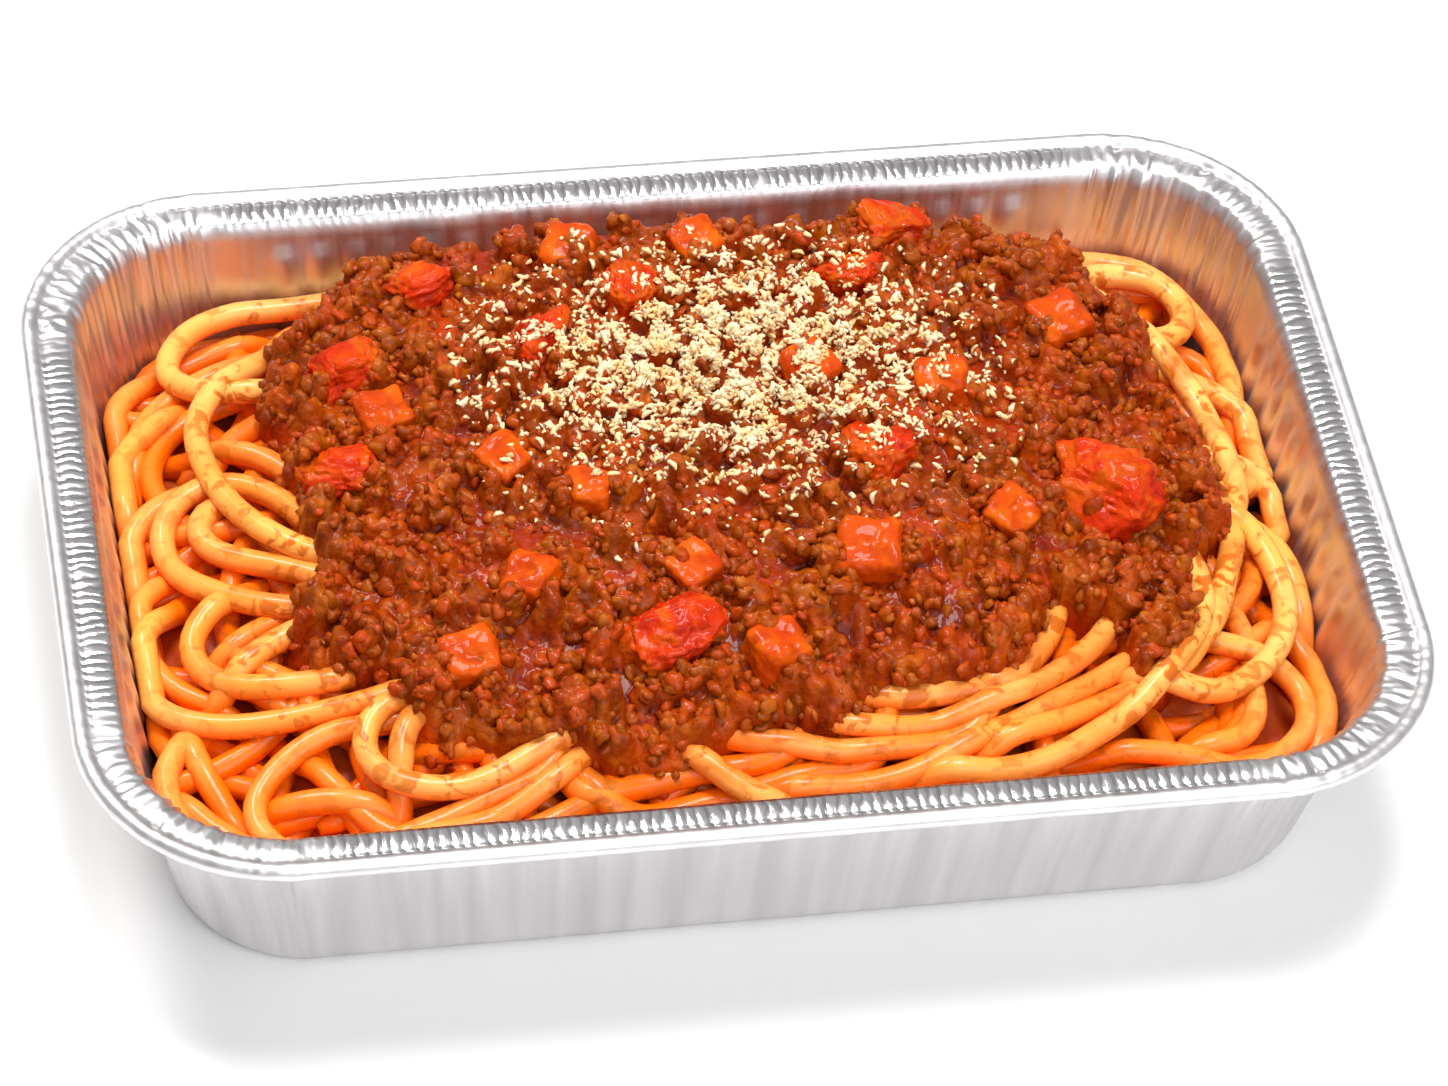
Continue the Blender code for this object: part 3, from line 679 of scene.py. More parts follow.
# The height of what lies in the tray so far, so that each strand or crumb rests on those below
class Heap:
    def __init__(self, drop, cell=0.5):
        self.xs = np.arange(-foodInfo["heapX"], foodInfo["heapX"] + 0.01, cell)
        self.ys = np.arange(-foodInfo["heapY"], foodInfo["heapY"] + 0.01, cell)
        self.cell = cell
        self.height = moundHeight(self.xs[None, :], self.ys[:, None]) - drop
        self.gaps = None
        self.entries = []
        self.bare = self.height
        self.meat = np.zeros(self.height.shape)

    def patch(self, x, y, radius):
        i0 = max(0, int((x - radius - self.xs[0]) / self.cell) + 1)
        i1 = int((x + radius - self.xs[0]) / self.cell) + 1
        j0 = max(0, int((y - radius - self.ys[0]) / self.cell) + 1)
        j1 = int((y + radius - self.ys[0]) / self.cell) + 1
        dx = self.xs[i0:i1][None, :] - x
        dy = self.ys[j0:j1][:, None] - y
        bulge = radius**2 - dx**2 - dy**2
        return slice(j0, j1), slice(i0, i1), np.where(bulge > 0, np.sqrt(np.maximum(bulge, 0)), -99.0)

    def rest(self, x, y, radius):
        rows, columns, bulge = self.patch(x, y, radius)
        return float((self.height[rows, columns] + bulge).max(initial=-99.0))

    def add(self, x, y, z, radius, meat=0.0):
        rows, columns, bulge = self.patch(x, y, radius)
        higher = z + bulge > self.height[rows, columns]
        self.height[rows, columns] = np.where(higher, z + bulge, self.height[rows, columns])
        self.meat[rows, columns] = np.where(higher, meat, self.meat[rows, columns])

    def cellOf(self, x, y):
        return int(round((y - self.ys[0]) / self.cell)), int(round((x - self.xs[0]) / self.cell))

    # How far inside the sauce's outline a place is
    def gapAt(self, x, y):
        return float(self.gaps[self.cellOf(x, y)])

    def at(self, x, y):
        return float(self.height[self.cellOf(x, y)])

    # How much mince is heaped on the bare sauce at a place
    def heapedAt(self, x, y):
        return self.at(x, y) - float(self.bare[self.cellOf(x, y)])

    # The mean height round a place
    def level(self, x, y, reach=6):
        j, i = self.cellOf(x, y)
        return float(self.height[j - reach:j + reach + 1, i - reach:i + reach + 1].mean())


# Spaghetti: routes seen from above in mm, lowest first

strandRoutes = {
    "low": [
        [(-68, 56), (-77, 54), (-85, 50), (-91, 44), (-94, 36), (-95, 27), (-95, 18)],
        [(-62, 50), (-71, 48), (-78, 45), (-85, 41), (-89, 35), (-90, 29)],
        [(-56, 56), (-61, 56), (-65, 50), (-69, 45), (-76, 42)],
        [(-74, 39), (-81, 37), (-85.5, 33), (-88, 26), (-86.5, 18), (-84, 13)],
        [(-83, 38), (-91, 31), (-94, 24), (-95, 16)],
        [(-80, 19), (-87, 17), (-92, 12), (-95, 5), (-95, -1)],
        [(-88, 1), (-92, -2), (-94, -8), (-92, -16), (-88, -22), (-82, -27)],
        [(-78, 24), (-74, 29), (-69, 32), (-64, 34)],
        [(-78, 27), (-73, 24), (-68, 20), (-64, 15)],
        [(-81, -18), (-75, -14), (-70, -12), (-64, -12)],
        [(-23, -50), (-29, -55), (-37, -58.5), (-46, -61)],
        [(-88, -30), (-87, -37), (-84, -44), (-81, -51), (-77, -56)],
        [(-89, -33), (-93, -40), (-94, -47), (-91, -53)],
        [(-90, -44), (-86, -50), (-80, -56)],
        [(-70, -41), (-66, -48), (-61, -55), (-55, -57)],
        [(-76, -48), (-68, -49), (-60, -52)],
        [(83, 38), (88, 37), (91, 31), (91.5, 24)],
        [(89, -27), (92.5, -35), (92, -44), (89, -52), (85, -57)],
        [(80, -40), (80, -46), (76, -51), (69, -52)],
        [(66, -57), (56, -58), (46, -60)],
        [(-30, -54), (-20, -52.5), (-8, -51), (4, -50)],
        [(-24, -57), (-13, -56), (-3, -54.5), (8, -53), (18, -51)],
    ],
    "middle": [
        [(-63, 2), (-67, 9), (-72, 15), (-79, 18), (-85, 15), (-88, 8), (-86, 0),
         (-80, -6), (-73, -11), (-66, -14)],
        [(-79, 12.5), (-82.5, 9), (-81, 4), (-76, 0), (-69, -4), (-61, -9)],
        [(-80, -8), (-84, -11), (-86, -16), (-84, -22), (-79, -26), (-72, -28), (-62, -28)],
        [(-80, -24), (-75, -20), (-69, -17), (-64, -17)],
        [(-90, -8), (-95, -14), (-94, -22), (-90, -28), (-82, -32.5), (-72, -34), (-60, -33.5),
         (-52, -32)],
        [(-57, -38), (-66, -37.5), (-74, -41), (-79, -46), (-79.5, -52), (-76, -57), (-69, -59),
         (-61, -58.5), (-52, -56), (-42, -52.5), (-34, -50)],
        [(-27, -47), (-33, -52), (-41, -56), (-50, -58), (-60, -60)],
        [(60, 61), (66, 63.5), (73, 64), (80, 60), (86, 54), (90, 46), (92.5, 38), (92.5, 29), (91, 21)],
        [(76, 31), (82, 27), (88, 24), (93, 19), (95, 12), (93, 6), (88, 1.5)],
        [(88, 6), (93, 1), (94, -5), (91, -9.5), (86, -11.5)],
        [(90, -11), (92.5, -18), (93.5, -26)],
        [(76, -33), (83, -35), (88, -39), (89, -45), (86, -51), (80, -55),
         (72, -55.5), (64, -53.5), (55, -52.5)],
        [(14, -41), (20, -43.5), (29, -43.5), (38, -41.5)],
        [(-6, -47), (2, -49.5), (12, -51.5), (24, -51), (34, -48.5)],
        [(51, -26), (48, -33), (43, -39), (38, -43)],
        [(59, -30), (55, -35.5), (48, -40.5), (40, -44.5), (30, -47.5), (20, -48.5), (10, -46.5)],
        [(61, -37), (54, -41.5), (45, -46), (35, -50.5), (25, -54.5), (14, -56.5), (2, -56)],
        [(63, -41), (56, -44.5), (47, -48.5), (37, -52)],
    ],
    "top": [
        [(-30, 69), (-45, 68), (-56, 63), (-68, 61), (-77, 58), (-82, 52), (-83, 46), (-80, 41),
         (-75, 38)],
        [(-62, 46), (-70, 42), (-76, 38), (-80, 31), (-80, 23), (-78, 14), (-74, 6), (-69, 0), (-66, -3)],
        [(-12, -50), (-8, -54), (-3, -58), (3, -60.5)],
        [(-53, -38), (-56, -42), (-57, -49)],
        [(-56, -35.5), (-61, -39), (-62, -45), (-58, -50), (-51, -52), (-44, -51.5), (-36, -48),
         (-29, -45)],
        [(68, 50), (72, 54), (78, 55), (84, 53), (87.5, 48), (87.5, 42), (84, 37), (78, 34.5)],
        [(30, 69), (42, 69.5), (52, 68), (59, 63), (64, 56), (69, 50), (74, 44), (78, 37), (81, 29),
         (84, 21), (85.5, 12), (86, 3), (85, -6)],
        [(83, -12), (80, -20), (77, -28), (72, -35), (66, -41)],
        [(78, -4), (84, -8), (88, -14), (89.5, -22), (88, -30), (84, -37), (78, -42), (70, -44)],
        [(74, -16), (75, -24), (73, -32), (68, -39), (61, -46), (53, -51), (44, -55.5), (35, -57),
         (27, -56)],
    ],
}

fillerSet = {
    "count": 95, "seed": 11, "halfX": 96, "halfY": 64, "inSauce": 4.0,
    "radius": (16.0, 46.0), "span": (50.0, 130.0), "spanRadius": 26.0,  # the span is for this radius
    "steps": 9,
}

sauceOutline = [
    (-50, 58), (-54, 55), (-60, 48), (-66, 40), (-67, 30), (-65, 22), (-66, 14), (-65, 5),
    (-64, -3), (-62, -10), (-68, -15), (-69, -20), (-66, -26), (-58, -29), (-52, -31), (-54, -36),
    (-48, -43), (-40, -45), (-30, -45), (-24, -50), (-15, -51), (-10, -48), (-3, -47), (5, -47),
    (12, -45), (18, -41), (28, -41), (38, -40), (44, -35), (48, -27), (52, -26), (60, -30),
    (63, -40), (70, -33), (72, -25), (75, -15), (82, -9), (80, 3), (80, 12), (78, 22), (76, 32),
    (75, 42), (68, 50), (61, 55), (48, 57), (24, 58), (2, 60), (-22, 60),
]


# Distance from the sauce's outline, positive inside
def outlineDistance(x, y):
    x, y = np.asarray(x, float), np.asarray(y, float)
    corners = np.array(sauceOutline, float)
    nearest = np.full(x.shape, 1e9)
    inside = np.zeros(x.shape, bool)
    for (ax, ay), (bx, by) in zip(corners, np.roll(corners, -1, axis=0)):
        length = (bx - ax) ** 2 + (by - ay) ** 2
        t = np.clip(((x - ax) * (bx - ax) + (y - ay) * (by - ay)) / length, 0.0, 1.0)
        nearest = np.minimum(nearest, np.hypot(x - ax - t * (bx - ax), y - ay - t * (by - ay)))
        if ay != by:
            crosses = ((ay > y) != (by > y)) & (x < (bx - ax) * (y - ay) / (by - ay) + ax)
            inside ^= crosses
    return np.where(inside, nearest, -nearest)


# Height of each layer's strands against the mound's top, and how far a strand's ends run on and dip
layerSet = {
    "under": {"least": -11.0, "most": -5.0, "tuck": 2.0, "dip": 1.0},
    "low": {"least": -6.0, "most": -3.2, "tuck": 10.0, "dip": 6.0},
    "middle": {"least": -3.4, "most": -0.9, "tuck": 10.0, "dip": 7.0},
    "top": {"least": -1.3, "most": 1.0, "tuck": 10.0, "dip": 8.0},
}

strandSet = {
    "widths": (0.94, 1.05), "waver": 0.03, "tip": 0.55,
    "sauceNear": 9.0, "saucePull": 1.3, "shortTuck": 5.0,
    "planRounds": 12, "heightRounds": 34, "over": 0.35,  # of what stands over the layer's most
    # Painted shade, a deeper orange on the strands: from how far under the mound's top it begins, over how
    # far it deepens, and how much at the front, where it is partly painted shade from the front wall and
    # partly sauce stain
    "shadeFrom": 1.4, "shadeOver": 5.0, "frontShadeShare": 0.40, "front": (28.0, 54.0),
    "sauced": (-26.0, 1.0),  # where sauce begins to stain the strands, from its outline
}

# From the foil's outside to a strand's middle
strandRoom = trayInfo["sheet"] + foodInfo["strand"] / 2 + foodInfo["strandGap"]


# Where a strand runs on to past its end: on into the sauce where that is near
def runOn(end, near, tuck):
    away = (end - near) / max(np.hypot(*(end - near)), 0.01)
    gap = float(outlineDistance(*end))
    if gap > -strandSet["sauceNear"] and tuck > strandSet["shortTuck"]:
        east = float(outlineDistance(end[0] + 1.0, end[1])) - gap
        north = float(outlineDistance(end[0], end[1] + 1.0)) - gap
        away = away + strandSet["saucePull"] * np.array((east, north))
        away /= max(np.hypot(*away), 0.01)
        tuck += max(0.0, -gap)
    return end + away * tuck


# Points a millimetre apart on a smooth curve through the plan points, run on past both ends by tuck
def smoothRoute(points, tuck):
    knots = [np.array(p, float) for p in points]
    knots.insert(0, runOn(knots[0], knots[1], tuck))
    knots.append(runOn(knots[-1], knots[-2], tuck))
    knots = [2 * knots[0] - knots[1]] + knots + [2 * knots[-1] - knots[-2]]
    fine = []
    for a, b, c, d in zip(knots, knots[1:], knots[2:], knots[3:]):
        for t in np.linspace(0, 1, 12, endpoint=False):
            bend = (2 * a - 5 * b + 4 * c - d) * t**2 + (3 * b - a - 3 * c + d) * t**3
            fine.append(0.5 * (2 * b + (c - a) * t + bend))
    fine.append(knots[-2])
    fine = keepInside(np.array(fine), strandRoom)
    run = np.concatenate([[0], np.cumsum(np.hypot(*np.diff(fine, axis=0).T))])
    wanted = np.linspace(0, run[-1], max(6, int(run[-1]) + 1))
    route = np.stack([np.interp(wanted, run, fine[:, k]) for k in (0, 1)], 1)
    return blur(route, strandSet["planRounds"])


# Evens out neighbours along a strand, and leaves its ends
def blur(values, rounds):
    values = np.array(values, float)
    for _ in range(rounds):
        values[1:-1] = (values[:-2] + 2 * values[1:-1] + values[2:]) / 4
    return values


# Rests a strand on the heap: (x, y, z) every millimetre. Its ends dip under what lies beside them
def layStrand(heap, points, layer):
    setting = layerSet[layer]
    route = smoothRoute(points, setting["tuck"])
    ground = moundHeight(route[:, 0], route[:, 1]) - foodInfo["strand"] / 2
    heights = np.array([heap.rest(x, y, foodInfo["pile"]) for x, y in route])
    heights = np.maximum(heights, ground + setting["least"])
    most = ground + setting["most"]
    heights = np.where(heights > most, most + strandSet["over"] * (heights - most), heights)
    heights = blur(heights, strandSet["heightRounds"])
    along = np.arange(len(route), dtype=float)
    toEnd = np.minimum(along, along[::-1])
    heights = heights - setting["dip"] * (1.0 - smoothStep(0.0, setting["tuck"] + 3.0, toEnd))
    route = keepInside(route, strandRoom, heights)
    for (x, y), z in zip(route, heights):
        heap.add(x, y, z, foodInfo["pile"])
    return np.column_stack([route, heights])


# Arcs under the strands that show, all round the sauce
def fillerRoutes():
    draw = random.Random(fillerSet["seed"])
    routes = []
    while len(routes) < fillerSet["count"]:
        x = draw.uniform(-fillerSet["halfX"], fillerSet["halfX"])
        y = draw.uniform(-fillerSet["halfY"], fillerSet["halfY"])
        if outlineDistance(x, y) > fillerSet["inSauce"]:
            continue
        radius = draw.uniform(*fillerSet["radius"])
        heading = math.atan2(y * 2.0, x) + math.pi / 2 + draw.gauss(0.0, 0.6)
        bend = draw.choice((-1, 1))
        cx, cy = x - bend * radius * math.sin(heading), y + bend * radius * math.cos(heading)
        start = heading - bend * math.pi / 2
        span = math.radians(draw.uniform(*fillerSet["span"])) * fillerSet["spanRadius"] / radius
        steps = fillerSet["steps"]
        turns = [start + bend * span * (s / steps - 0.5) for s in range(steps + 1)]
        routes.append([(cx + radius * math.cos(turn), cy + radius * math.sin(turn)) for turn in turns])
    return routes


# One curve object with a bevel, a spline for each strand, made a mesh
def makeStrands(name, paths, bevelResolution, step, material, *nodes):
    data = bpy.data.curves.new(name, "CURVE")
    data.dimensions = "3D"
    data.bevel_depth = foodInfo["strand"] / 2 * mm
    data.bevel_resolution = bevelResolution
    data.use_fill_caps = True
    draw = random.Random(len(paths))
    for path in paths:
        keep = list(range(0, len(path) - 1, step)) + [len(path) - 1]
        points = path[keep]
        spline = data.splines.new("POLY")
        spline.points.add(len(points) - 1)
        packed = np.column_stack([points * mm, np.ones(len(points))])
        spline.points.foreach_set("co", packed.ravel())
        thick = draw.uniform(*strandSet["widths"])
        widths = [thick * (1.0 + strandSet["waver"] * noise.noise(Vector(p) * 0.12)) for p in points]
        widths[0] *= strandSet["tip"]
        widths[-1] *= strandSet["tip"]
        spline.points.foreach_set("radius", widths)
    strands = bpy.data.objects.new(name, data)
    bpy.context.scene.collection.objects.link(strands)
    pick(strands)
    bpy.ops.object.convert(target="MESH")
    strands = bpy.context.object
    edit(strands)
    bpy.ops.mesh.remove_doubles(threshold=0.00001)
    bpy.ops.object.mode_set(mode="OBJECT")
    x, y, z = getPoints(strands).T
    # Painted shade: strands lying lower under the mound's top, and those towards the front, get the deeper
    # orange through "depth"; at the front it is partly sauce stain
    paintedShade = (moundHeight(x, y) - strandSet["shadeFrom"] - z) / strandSet["shadeOver"]
    front = strandSet["frontShadeShare"] * smoothStep(*strandSet["front"], -y)
    setAttribute(strands, "depth", np.clip(paintedShade + front, 0.0, 1.0))
    setAttribute(strands, "sauced", smoothStep(*strandSet["sauced"], outlineDistance(x, y)))
    finishPiece(strands, material, "pasta", *nodes)
    print(name + ":", len(paths), "strands,", countTriangles(strands), "triangles")


def makeSpaghetti():
    heap = Heap(foodInfo["bedDrop"])
    pasta = pastaMaterial()
    makeBed()
    under = [layStrand(heap, points, "under") for points in fillerRoutes()]
    makeStrands("spaghettiUnder", under, 2, 3, pasta)
    shown = []
    for layer in ("low", "middle", "top"):
        shown += [layStrand(heap, points, layer) for points in strandRoutes[layer]]
    makeStrands("spaghettiTop", shown, 4, 2, pasta, "spaghetti")
    heap.height += foodInfo["strand"] / 2 - foodInfo["pile"]
    heap.entries = entryPoints(shown)
    return heap


# Where strands go in under the sauce
def entryPoints(paths):
    entries = []
    for path in paths:
        inside = outlineDistance(path[:, 0], path[:, 1]) > sauceSet["entry"]
        entries += [path[k] for k in range(len(path) - 1) if inside[k] != inside[k + 1]]
    return entries


# The imported mass far down between the strands, its pasta coloured darker and redder as painted shade
def makeBed():
    bpy.ops.mesh.primitive_grid_add(x_subdivisions=120, y_subdivisions=80, size=2.0)
    bed = bpy.context.object
    bed.name = "spaghettiBed"
    flat = getPoints(bed) * mm
    halfX, halfY, _ = wallSize(5.0)
    plan = np.column_stack([flat[:, 0] * halfX, flat[:, 1] * halfY])
    inner = keepInside(plan, trayInfo["sheet"] + foodInfo["bedGap"], 5.0)
    bumps = foodInfo["bedBumps"] * noiseAt(np.column_stack([plan, np.zeros(len(plan))]), 0.22, 4.0)
    heights = moundHeight(inner[:, 0], inner[:, 1]) - foodInfo["bedDrop"] - 0.5 + bumps
    setPoints(bed, np.column_stack([inner, heights]))
    edit(bed)
    closeSheet(foodInfo["bedDepth"])
    finishPiece(bed, simpleMaterial("paintedShadePasta"), "pasta")


# Meat sauce: one craggy surface of sauce and mince, drawn over the strands

sauceSet = {
    "centre": (4.0, 8.0), "topZ": 43.5, "fall": 19.0, "halfX": 88.0, "halfBack": 78.0, "halfFront": 70.0,
    "edgeFall": 8.0, "cell": 0.42, "edge": 3.6,
    "clumps": 320, "clumpRoom": 7.0, "clumpSpread": (1.5, 2.9), "grainsPerMm": 13.0, "grain": (0.8, 1.7),
    "entry": 1.6, "entryGrains": 16, "entrySpread": 1.7, "tallest": 5.6, "sunk": 0.22,
    "spanX": (-72, 85), "spanY": (-54, 63),  # the box round the outline
    "domePower": 2.8, "over": 0.5, "edgeFrom": (-3.4, 0.8), "edgePower": 1.3, "bridge": 4, "evening": 16,
    "outlineGaps": (-1.6, -2.2, -0.5),  # how far past the outline entry grains, grains and clumps lie
    "clumpStretch": (0.65, 1.0), "clumpMeat": (0.35, 1.0), "entryMeat": (0.3, 0.9), "meatSpread": 0.25,
    # The hollow mask below darkens the sauce's hollows as painted shade, and leaves less meat there
    "fineHollow": (0.1, 1.2), "wideHollow": (0.2, 2.4), "hollowRounds": (30, 160),
    "hollowShares": (0.55, 0.75), "hollowMeat": 0.35,
    "wobble": 1.8, "swell": 1.6, "crumbs": 0.25, "skirt": 4.0, "skirtGap": 1.8,
    "seed": 5,
}


# The strands' top as the sauce bridges it, at the places of another heap
def evenedTop(strands, top):
    even = strands.height.copy()
    for _ in range(sauceSet["bridge"]):
        beside = [even[:-2, 1:-1], even[2:, 1:-1], even[1:-1, :-2], even[1:-1, 2:]]
        even[1:-1, 1:-1] = np.maximum.reduce(beside)
    even = smoothed(even, sauceSet["evening"])
    rows = np.clip(np.round((top.ys - strands.ys[0]) / strands.cell).astype(int), 0, len(strands.ys) - 1)
    columns = np.clip(np.round((top.xs - strands.xs[0]) / strands.cell).astype(int), 0, len(strands.xs) - 1)
    return even[rows[:, None], columns[None, :]]


def smoothed(field, rounds):
    field = field.copy()
    for _ in range(rounds):
        field[1:-1, 1:-1] = (field[:-2, 1:-1] + field[2:, 1:-1] + field[1:-1, :-2] + field[1:-1, 2:]) / 4
    return field


# The sauce's top without its lumps: a dome that stays high at the back, and lies over the strands
def sauceHeight(x, y, distance, strandTop):
    halfY = np.where(y > sauceSet["centre"][1], sauceSet["halfBack"], sauceSet["halfFront"])
    share = np.abs((x - sauceSet["centre"][0]) / sauceSet["halfX"]) ** sauceSet["domePower"]
    share = share + np.abs((y - sauceSet["centre"][1]) / halfY) ** sauceSet["domePower"]
    dome = sauceSet["topZ"] - sauceSet["fall"] * share
    over = np.maximum(dome, strandTop + sauceSet["over"])
    fallen = (1.0 - smoothStep(*sauceSet["edgeFrom"], distance)) ** sauceSet["edgePower"]
    return over - sauceSet["edgeFall"] * fallen


# Places for the clumps, with room between them
def clumpCentres(draw, top):
    centres = []
    for _ in range(20000):
        x, y = draw.uniform(*sauceSet["spanX"]), draw.uniform(*sauceSet["spanY"])
        if top.gapAt(x, y) < sauceSet["outlineGaps"][2]:
            continue
        if all(math.hypot(x - cx, y - cy) > sauceSet["clumpRoom"] for cx, cy in centres):
            centres.append((x, y))
        if len(centres) == sauceSet["clumps"]:
            break
    return centres


# Heaps grains of mince into craggy clumps on the sauce's height field, also where strands go in under it
def pileMince(top, entries):
    draw = random.Random(sauceSet["seed"])
    entryGap, grainGap, _ = sauceSet["outlineGaps"]
    spread = sauceSet["meatSpread"]
    for cx, cy, _ in entries:
        for _ in range(sauceSet["entryGrains"]):
            x = cx + draw.gauss(0, sauceSet["entrySpread"])
            y = cy + draw.gauss(0, sauceSet["entrySpread"])
            size = draw.uniform(*sauceSet["grain"])
            if top.gapAt(x, y) > entryGap and top.heapedAt(x, y) < sauceSet["tallest"]:
                share = draw.uniform(*sauceSet["entryMeat"])
                top.add(x, y, top.at(x, y) - sauceSet["sunk"] * size, size, share)
    for cx, cy in clumpCentres(draw, top):
        reach = draw.uniform(*sauceSet["clumpSpread"])
        stretch = draw.uniform(*sauceSet["clumpStretch"])
        turn = draw.uniform(0, math.pi)
        meat = draw.uniform(*sauceSet["clumpMeat"])
        for _ in range(int(sauceSet["grainsPerMm"] * reach)):
            along, across = draw.gauss(0, reach), draw.gauss(0, reach * stretch)
            x = cx + along * math.cos(turn) - across * math.sin(turn)
            y = cy + along * math.sin(turn) + across * math.cos(turn)
            size = draw.uniform(*sauceSet["grain"])
            if top.gapAt(x, y) < grainGap or top.heapedAt(x, y) > sauceSet["tallest"]:
                continue
            share = min(1.0, max(0.15, meat + draw.uniform(-spread, spread)))
            top.add(x, y, top.at(x, y) - sauceSet["sunk"] * size, size, share)


def makeSauce(strands):
    top = Heap(60.0, sauceSet["cell"])
    gridX, gridY = np.meshgrid(top.xs, top.ys)
    top.gaps = outlineDistance(gridX, gridY)
    inside = top.gaps > -4.5
    x, y, gaps = gridX[inside], gridY[inside], top.gaps[inside]
    plan = np.column_stack([x, y, np.zeros(len(x))])
    wobble = sauceSet["wobble"] * noiseAt(plan, 0.2, 7.7)
    body = sauceHeight(x, y, gaps + wobble, evenedTop(strands, top)[inside])
    top.height[inside] = body + sauceSet["swell"] * noiseAt(plan, 0.07, 2.1)
    top.bare = top.height.copy()
    pileMince(top, strands.entries)
    craggy = smoothed(top.height, 1)
    craggy[inside] += sauceSet["crumbs"] * noiseAt(plan, 1.1, 3.3)
    # How far each place lies below its smoothed surroundings: this darkens the hollows as painted shade,
    # and takes meat out of them
    fineRounds, wideRounds = sauceSet["hollowRounds"]
    fineShare, wideShare = sauceSet["hollowShares"]
    fineHollow = smoothStep(*sauceSet["fineHollow"], smoothed(craggy, fineRounds) - craggy)
    wideHollow = smoothStep(*sauceSet["wideHollow"], smoothed(craggy, wideRounds) - craggy)
    hollow = np.clip(fineShare * fineHollow + wideShare * wideHollow, 0.0, 1.0)
    top.meat = np.clip(smoothed(top.meat, 1) - sauceSet["hollowMeat"] * hollow, 0.0, 1.0)
    top.height[inside] = craggy[inside]
    cellsX, cellsY = len(top.xs) - 1, len(top.ys) - 1
    bpy.ops.mesh.primitive_grid_add(x_subdivisions=cellsX, y_subdivisions=cellsY, size=2.0)
    sauce = bpy.context.object
    sauce.name = "sauceBody"
    flat = getPoints(sauce) * mm
    column = np.round((flat[:, 0] + 1.0) / 2.0 * cellsX).astype(int)
    row = np.round((flat[:, 1] + 1.0) / 2.0 * cellsY).astype(int)
    heights = top.height[row, column]
    plan = np.column_stack([top.xs[column], top.ys[row]])
    # The wall is as wide as it is a little below the skirt's end
    plan = keepInside(plan, trayInfo["sheet"] + sauceSet["skirtGap"], heights - sauceSet["skirt"] - 1.0)
    setPoints(sauce, np.column_stack([plan, heights]))
    setAttribute(sauce, "meat", top.meat[row, column])
    setAttribute(sauce, "hollow", hollow[row, column])
    outside = top.gaps[row, column] < -sauceSet["edge"]
    edit(sauce)
    bpy.ops.mesh.select_all(action="DESELECT")
    mesh = bmesh.from_edit_mesh(sauce.data)
    mesh.verts.ensure_lookup_table()
    for vert, out in zip(mesh.verts, outside):
        vert.select_set(bool(out))
    mesh.select_flush(True)
    bmesh.update_edit_mesh(sauce.data)
    bpy.ops.mesh.delete(type="VERT")
    closeSheet(sauceSet["skirt"])
    finishPiece(sauce, sauceMaterial(), "sauce", "meat_sauce")
    print("sauce:", countTriangles(sauce), "triangles")
    return top


# The points and faces of a model to copy, which is then taken away
def takeModel(obj, points):
    faces = np.array([list(face.vertices) for face in obj.data.polygons])
    bpy.data.objects.remove(obj)
    return points, faces


# A few lumpy grains to copy
def grainModels(count, rough, subdivisions):
    models = []
    for k in range(count):
        bpy.ops.mesh.primitive_ico_sphere_add(subdivisions=subdivisions, radius=1.0)
        grain = bpy.context.object
        points = getPoints(grain) * mm
        bumps = noiseAt(points, 1.3, 3.0 * k)
        models.append(takeModel(grain, points * (1.0 + rough * bumps)[:, None]))
    return models


# One mesh of many copies. A copy is (model number, place, sizes, turn, tone)
def joinCopies(name, models, copies, material, slotName):
    points, faces, tones = [], [], []
    start = 0
    for number, place, sizes, turn, tone in copies:
        shape, corners = models[number]
        matrix = np.array(Euler(turn).to_matrix())
        points.append((shape * sizes) @ matrix.T + place)
        faces.append(corners + start)
        tones.append(np.full(len(shape), tone))
        start += len(shape)
    points = np.concatenate(points) * mm
    faces = np.concatenate(faces)
    mesh = bpy.data.meshes.new(name)
    sides = faces.shape[1]
    mesh.vertices.add(len(points))
    mesh.vertices.foreach_set("co", points.astype(np.float32).ravel())
    mesh.loops.add(faces.size)
    mesh.loops.foreach_set("vertex_index", faces.astype(np.int32).ravel())
    mesh.polygons.add(len(faces))
    mesh.polygons.foreach_set("loop_start", np.arange(0, faces.size, sides, dtype=np.int32))
    mesh.update(calc_edges=True)
    mesh.validate()
    made = bpy.data.objects.new(name, mesh)
    bpy.context.scene.collection.objects.link(made)
    setAttribute(made, "tone", np.concatenate(tones))
    finishPiece(made, material, slotName)
    print(name + ":", len(copies), "copies,", countTriangles(made), "triangles")


# Tomato pieces: place, size along X, Y and Z, and turn, in mm and degrees
tomatoPieces = {
    "tomato_left_back": (-56, 32, 12, 9, 8, 20),
    "tomato_left": (-59, 9, 12, 9, 8, -25),
    "tomato_back_left": (-40, 49, 11, 8, 7, 10),
    "tomato_mid_left": (-24, 29, 11, 10, 8, 30),
    "tomato_mid_back": (-8, 41, 9, 9, 8, 0),
    "tomato_back_mid": (29, 41, 11, 8, 8, -15),
    "tomato_back_right": (38, 54, 12, 8, 7, 5),
    "tomato_mid_right": (25, -1, 11, 10, 9, 40),
    "tomato_right": (61, -9, 17, 14, 12, -30),
    "tomato_front": (-13, -34, 15, 11, 9, 5),
}

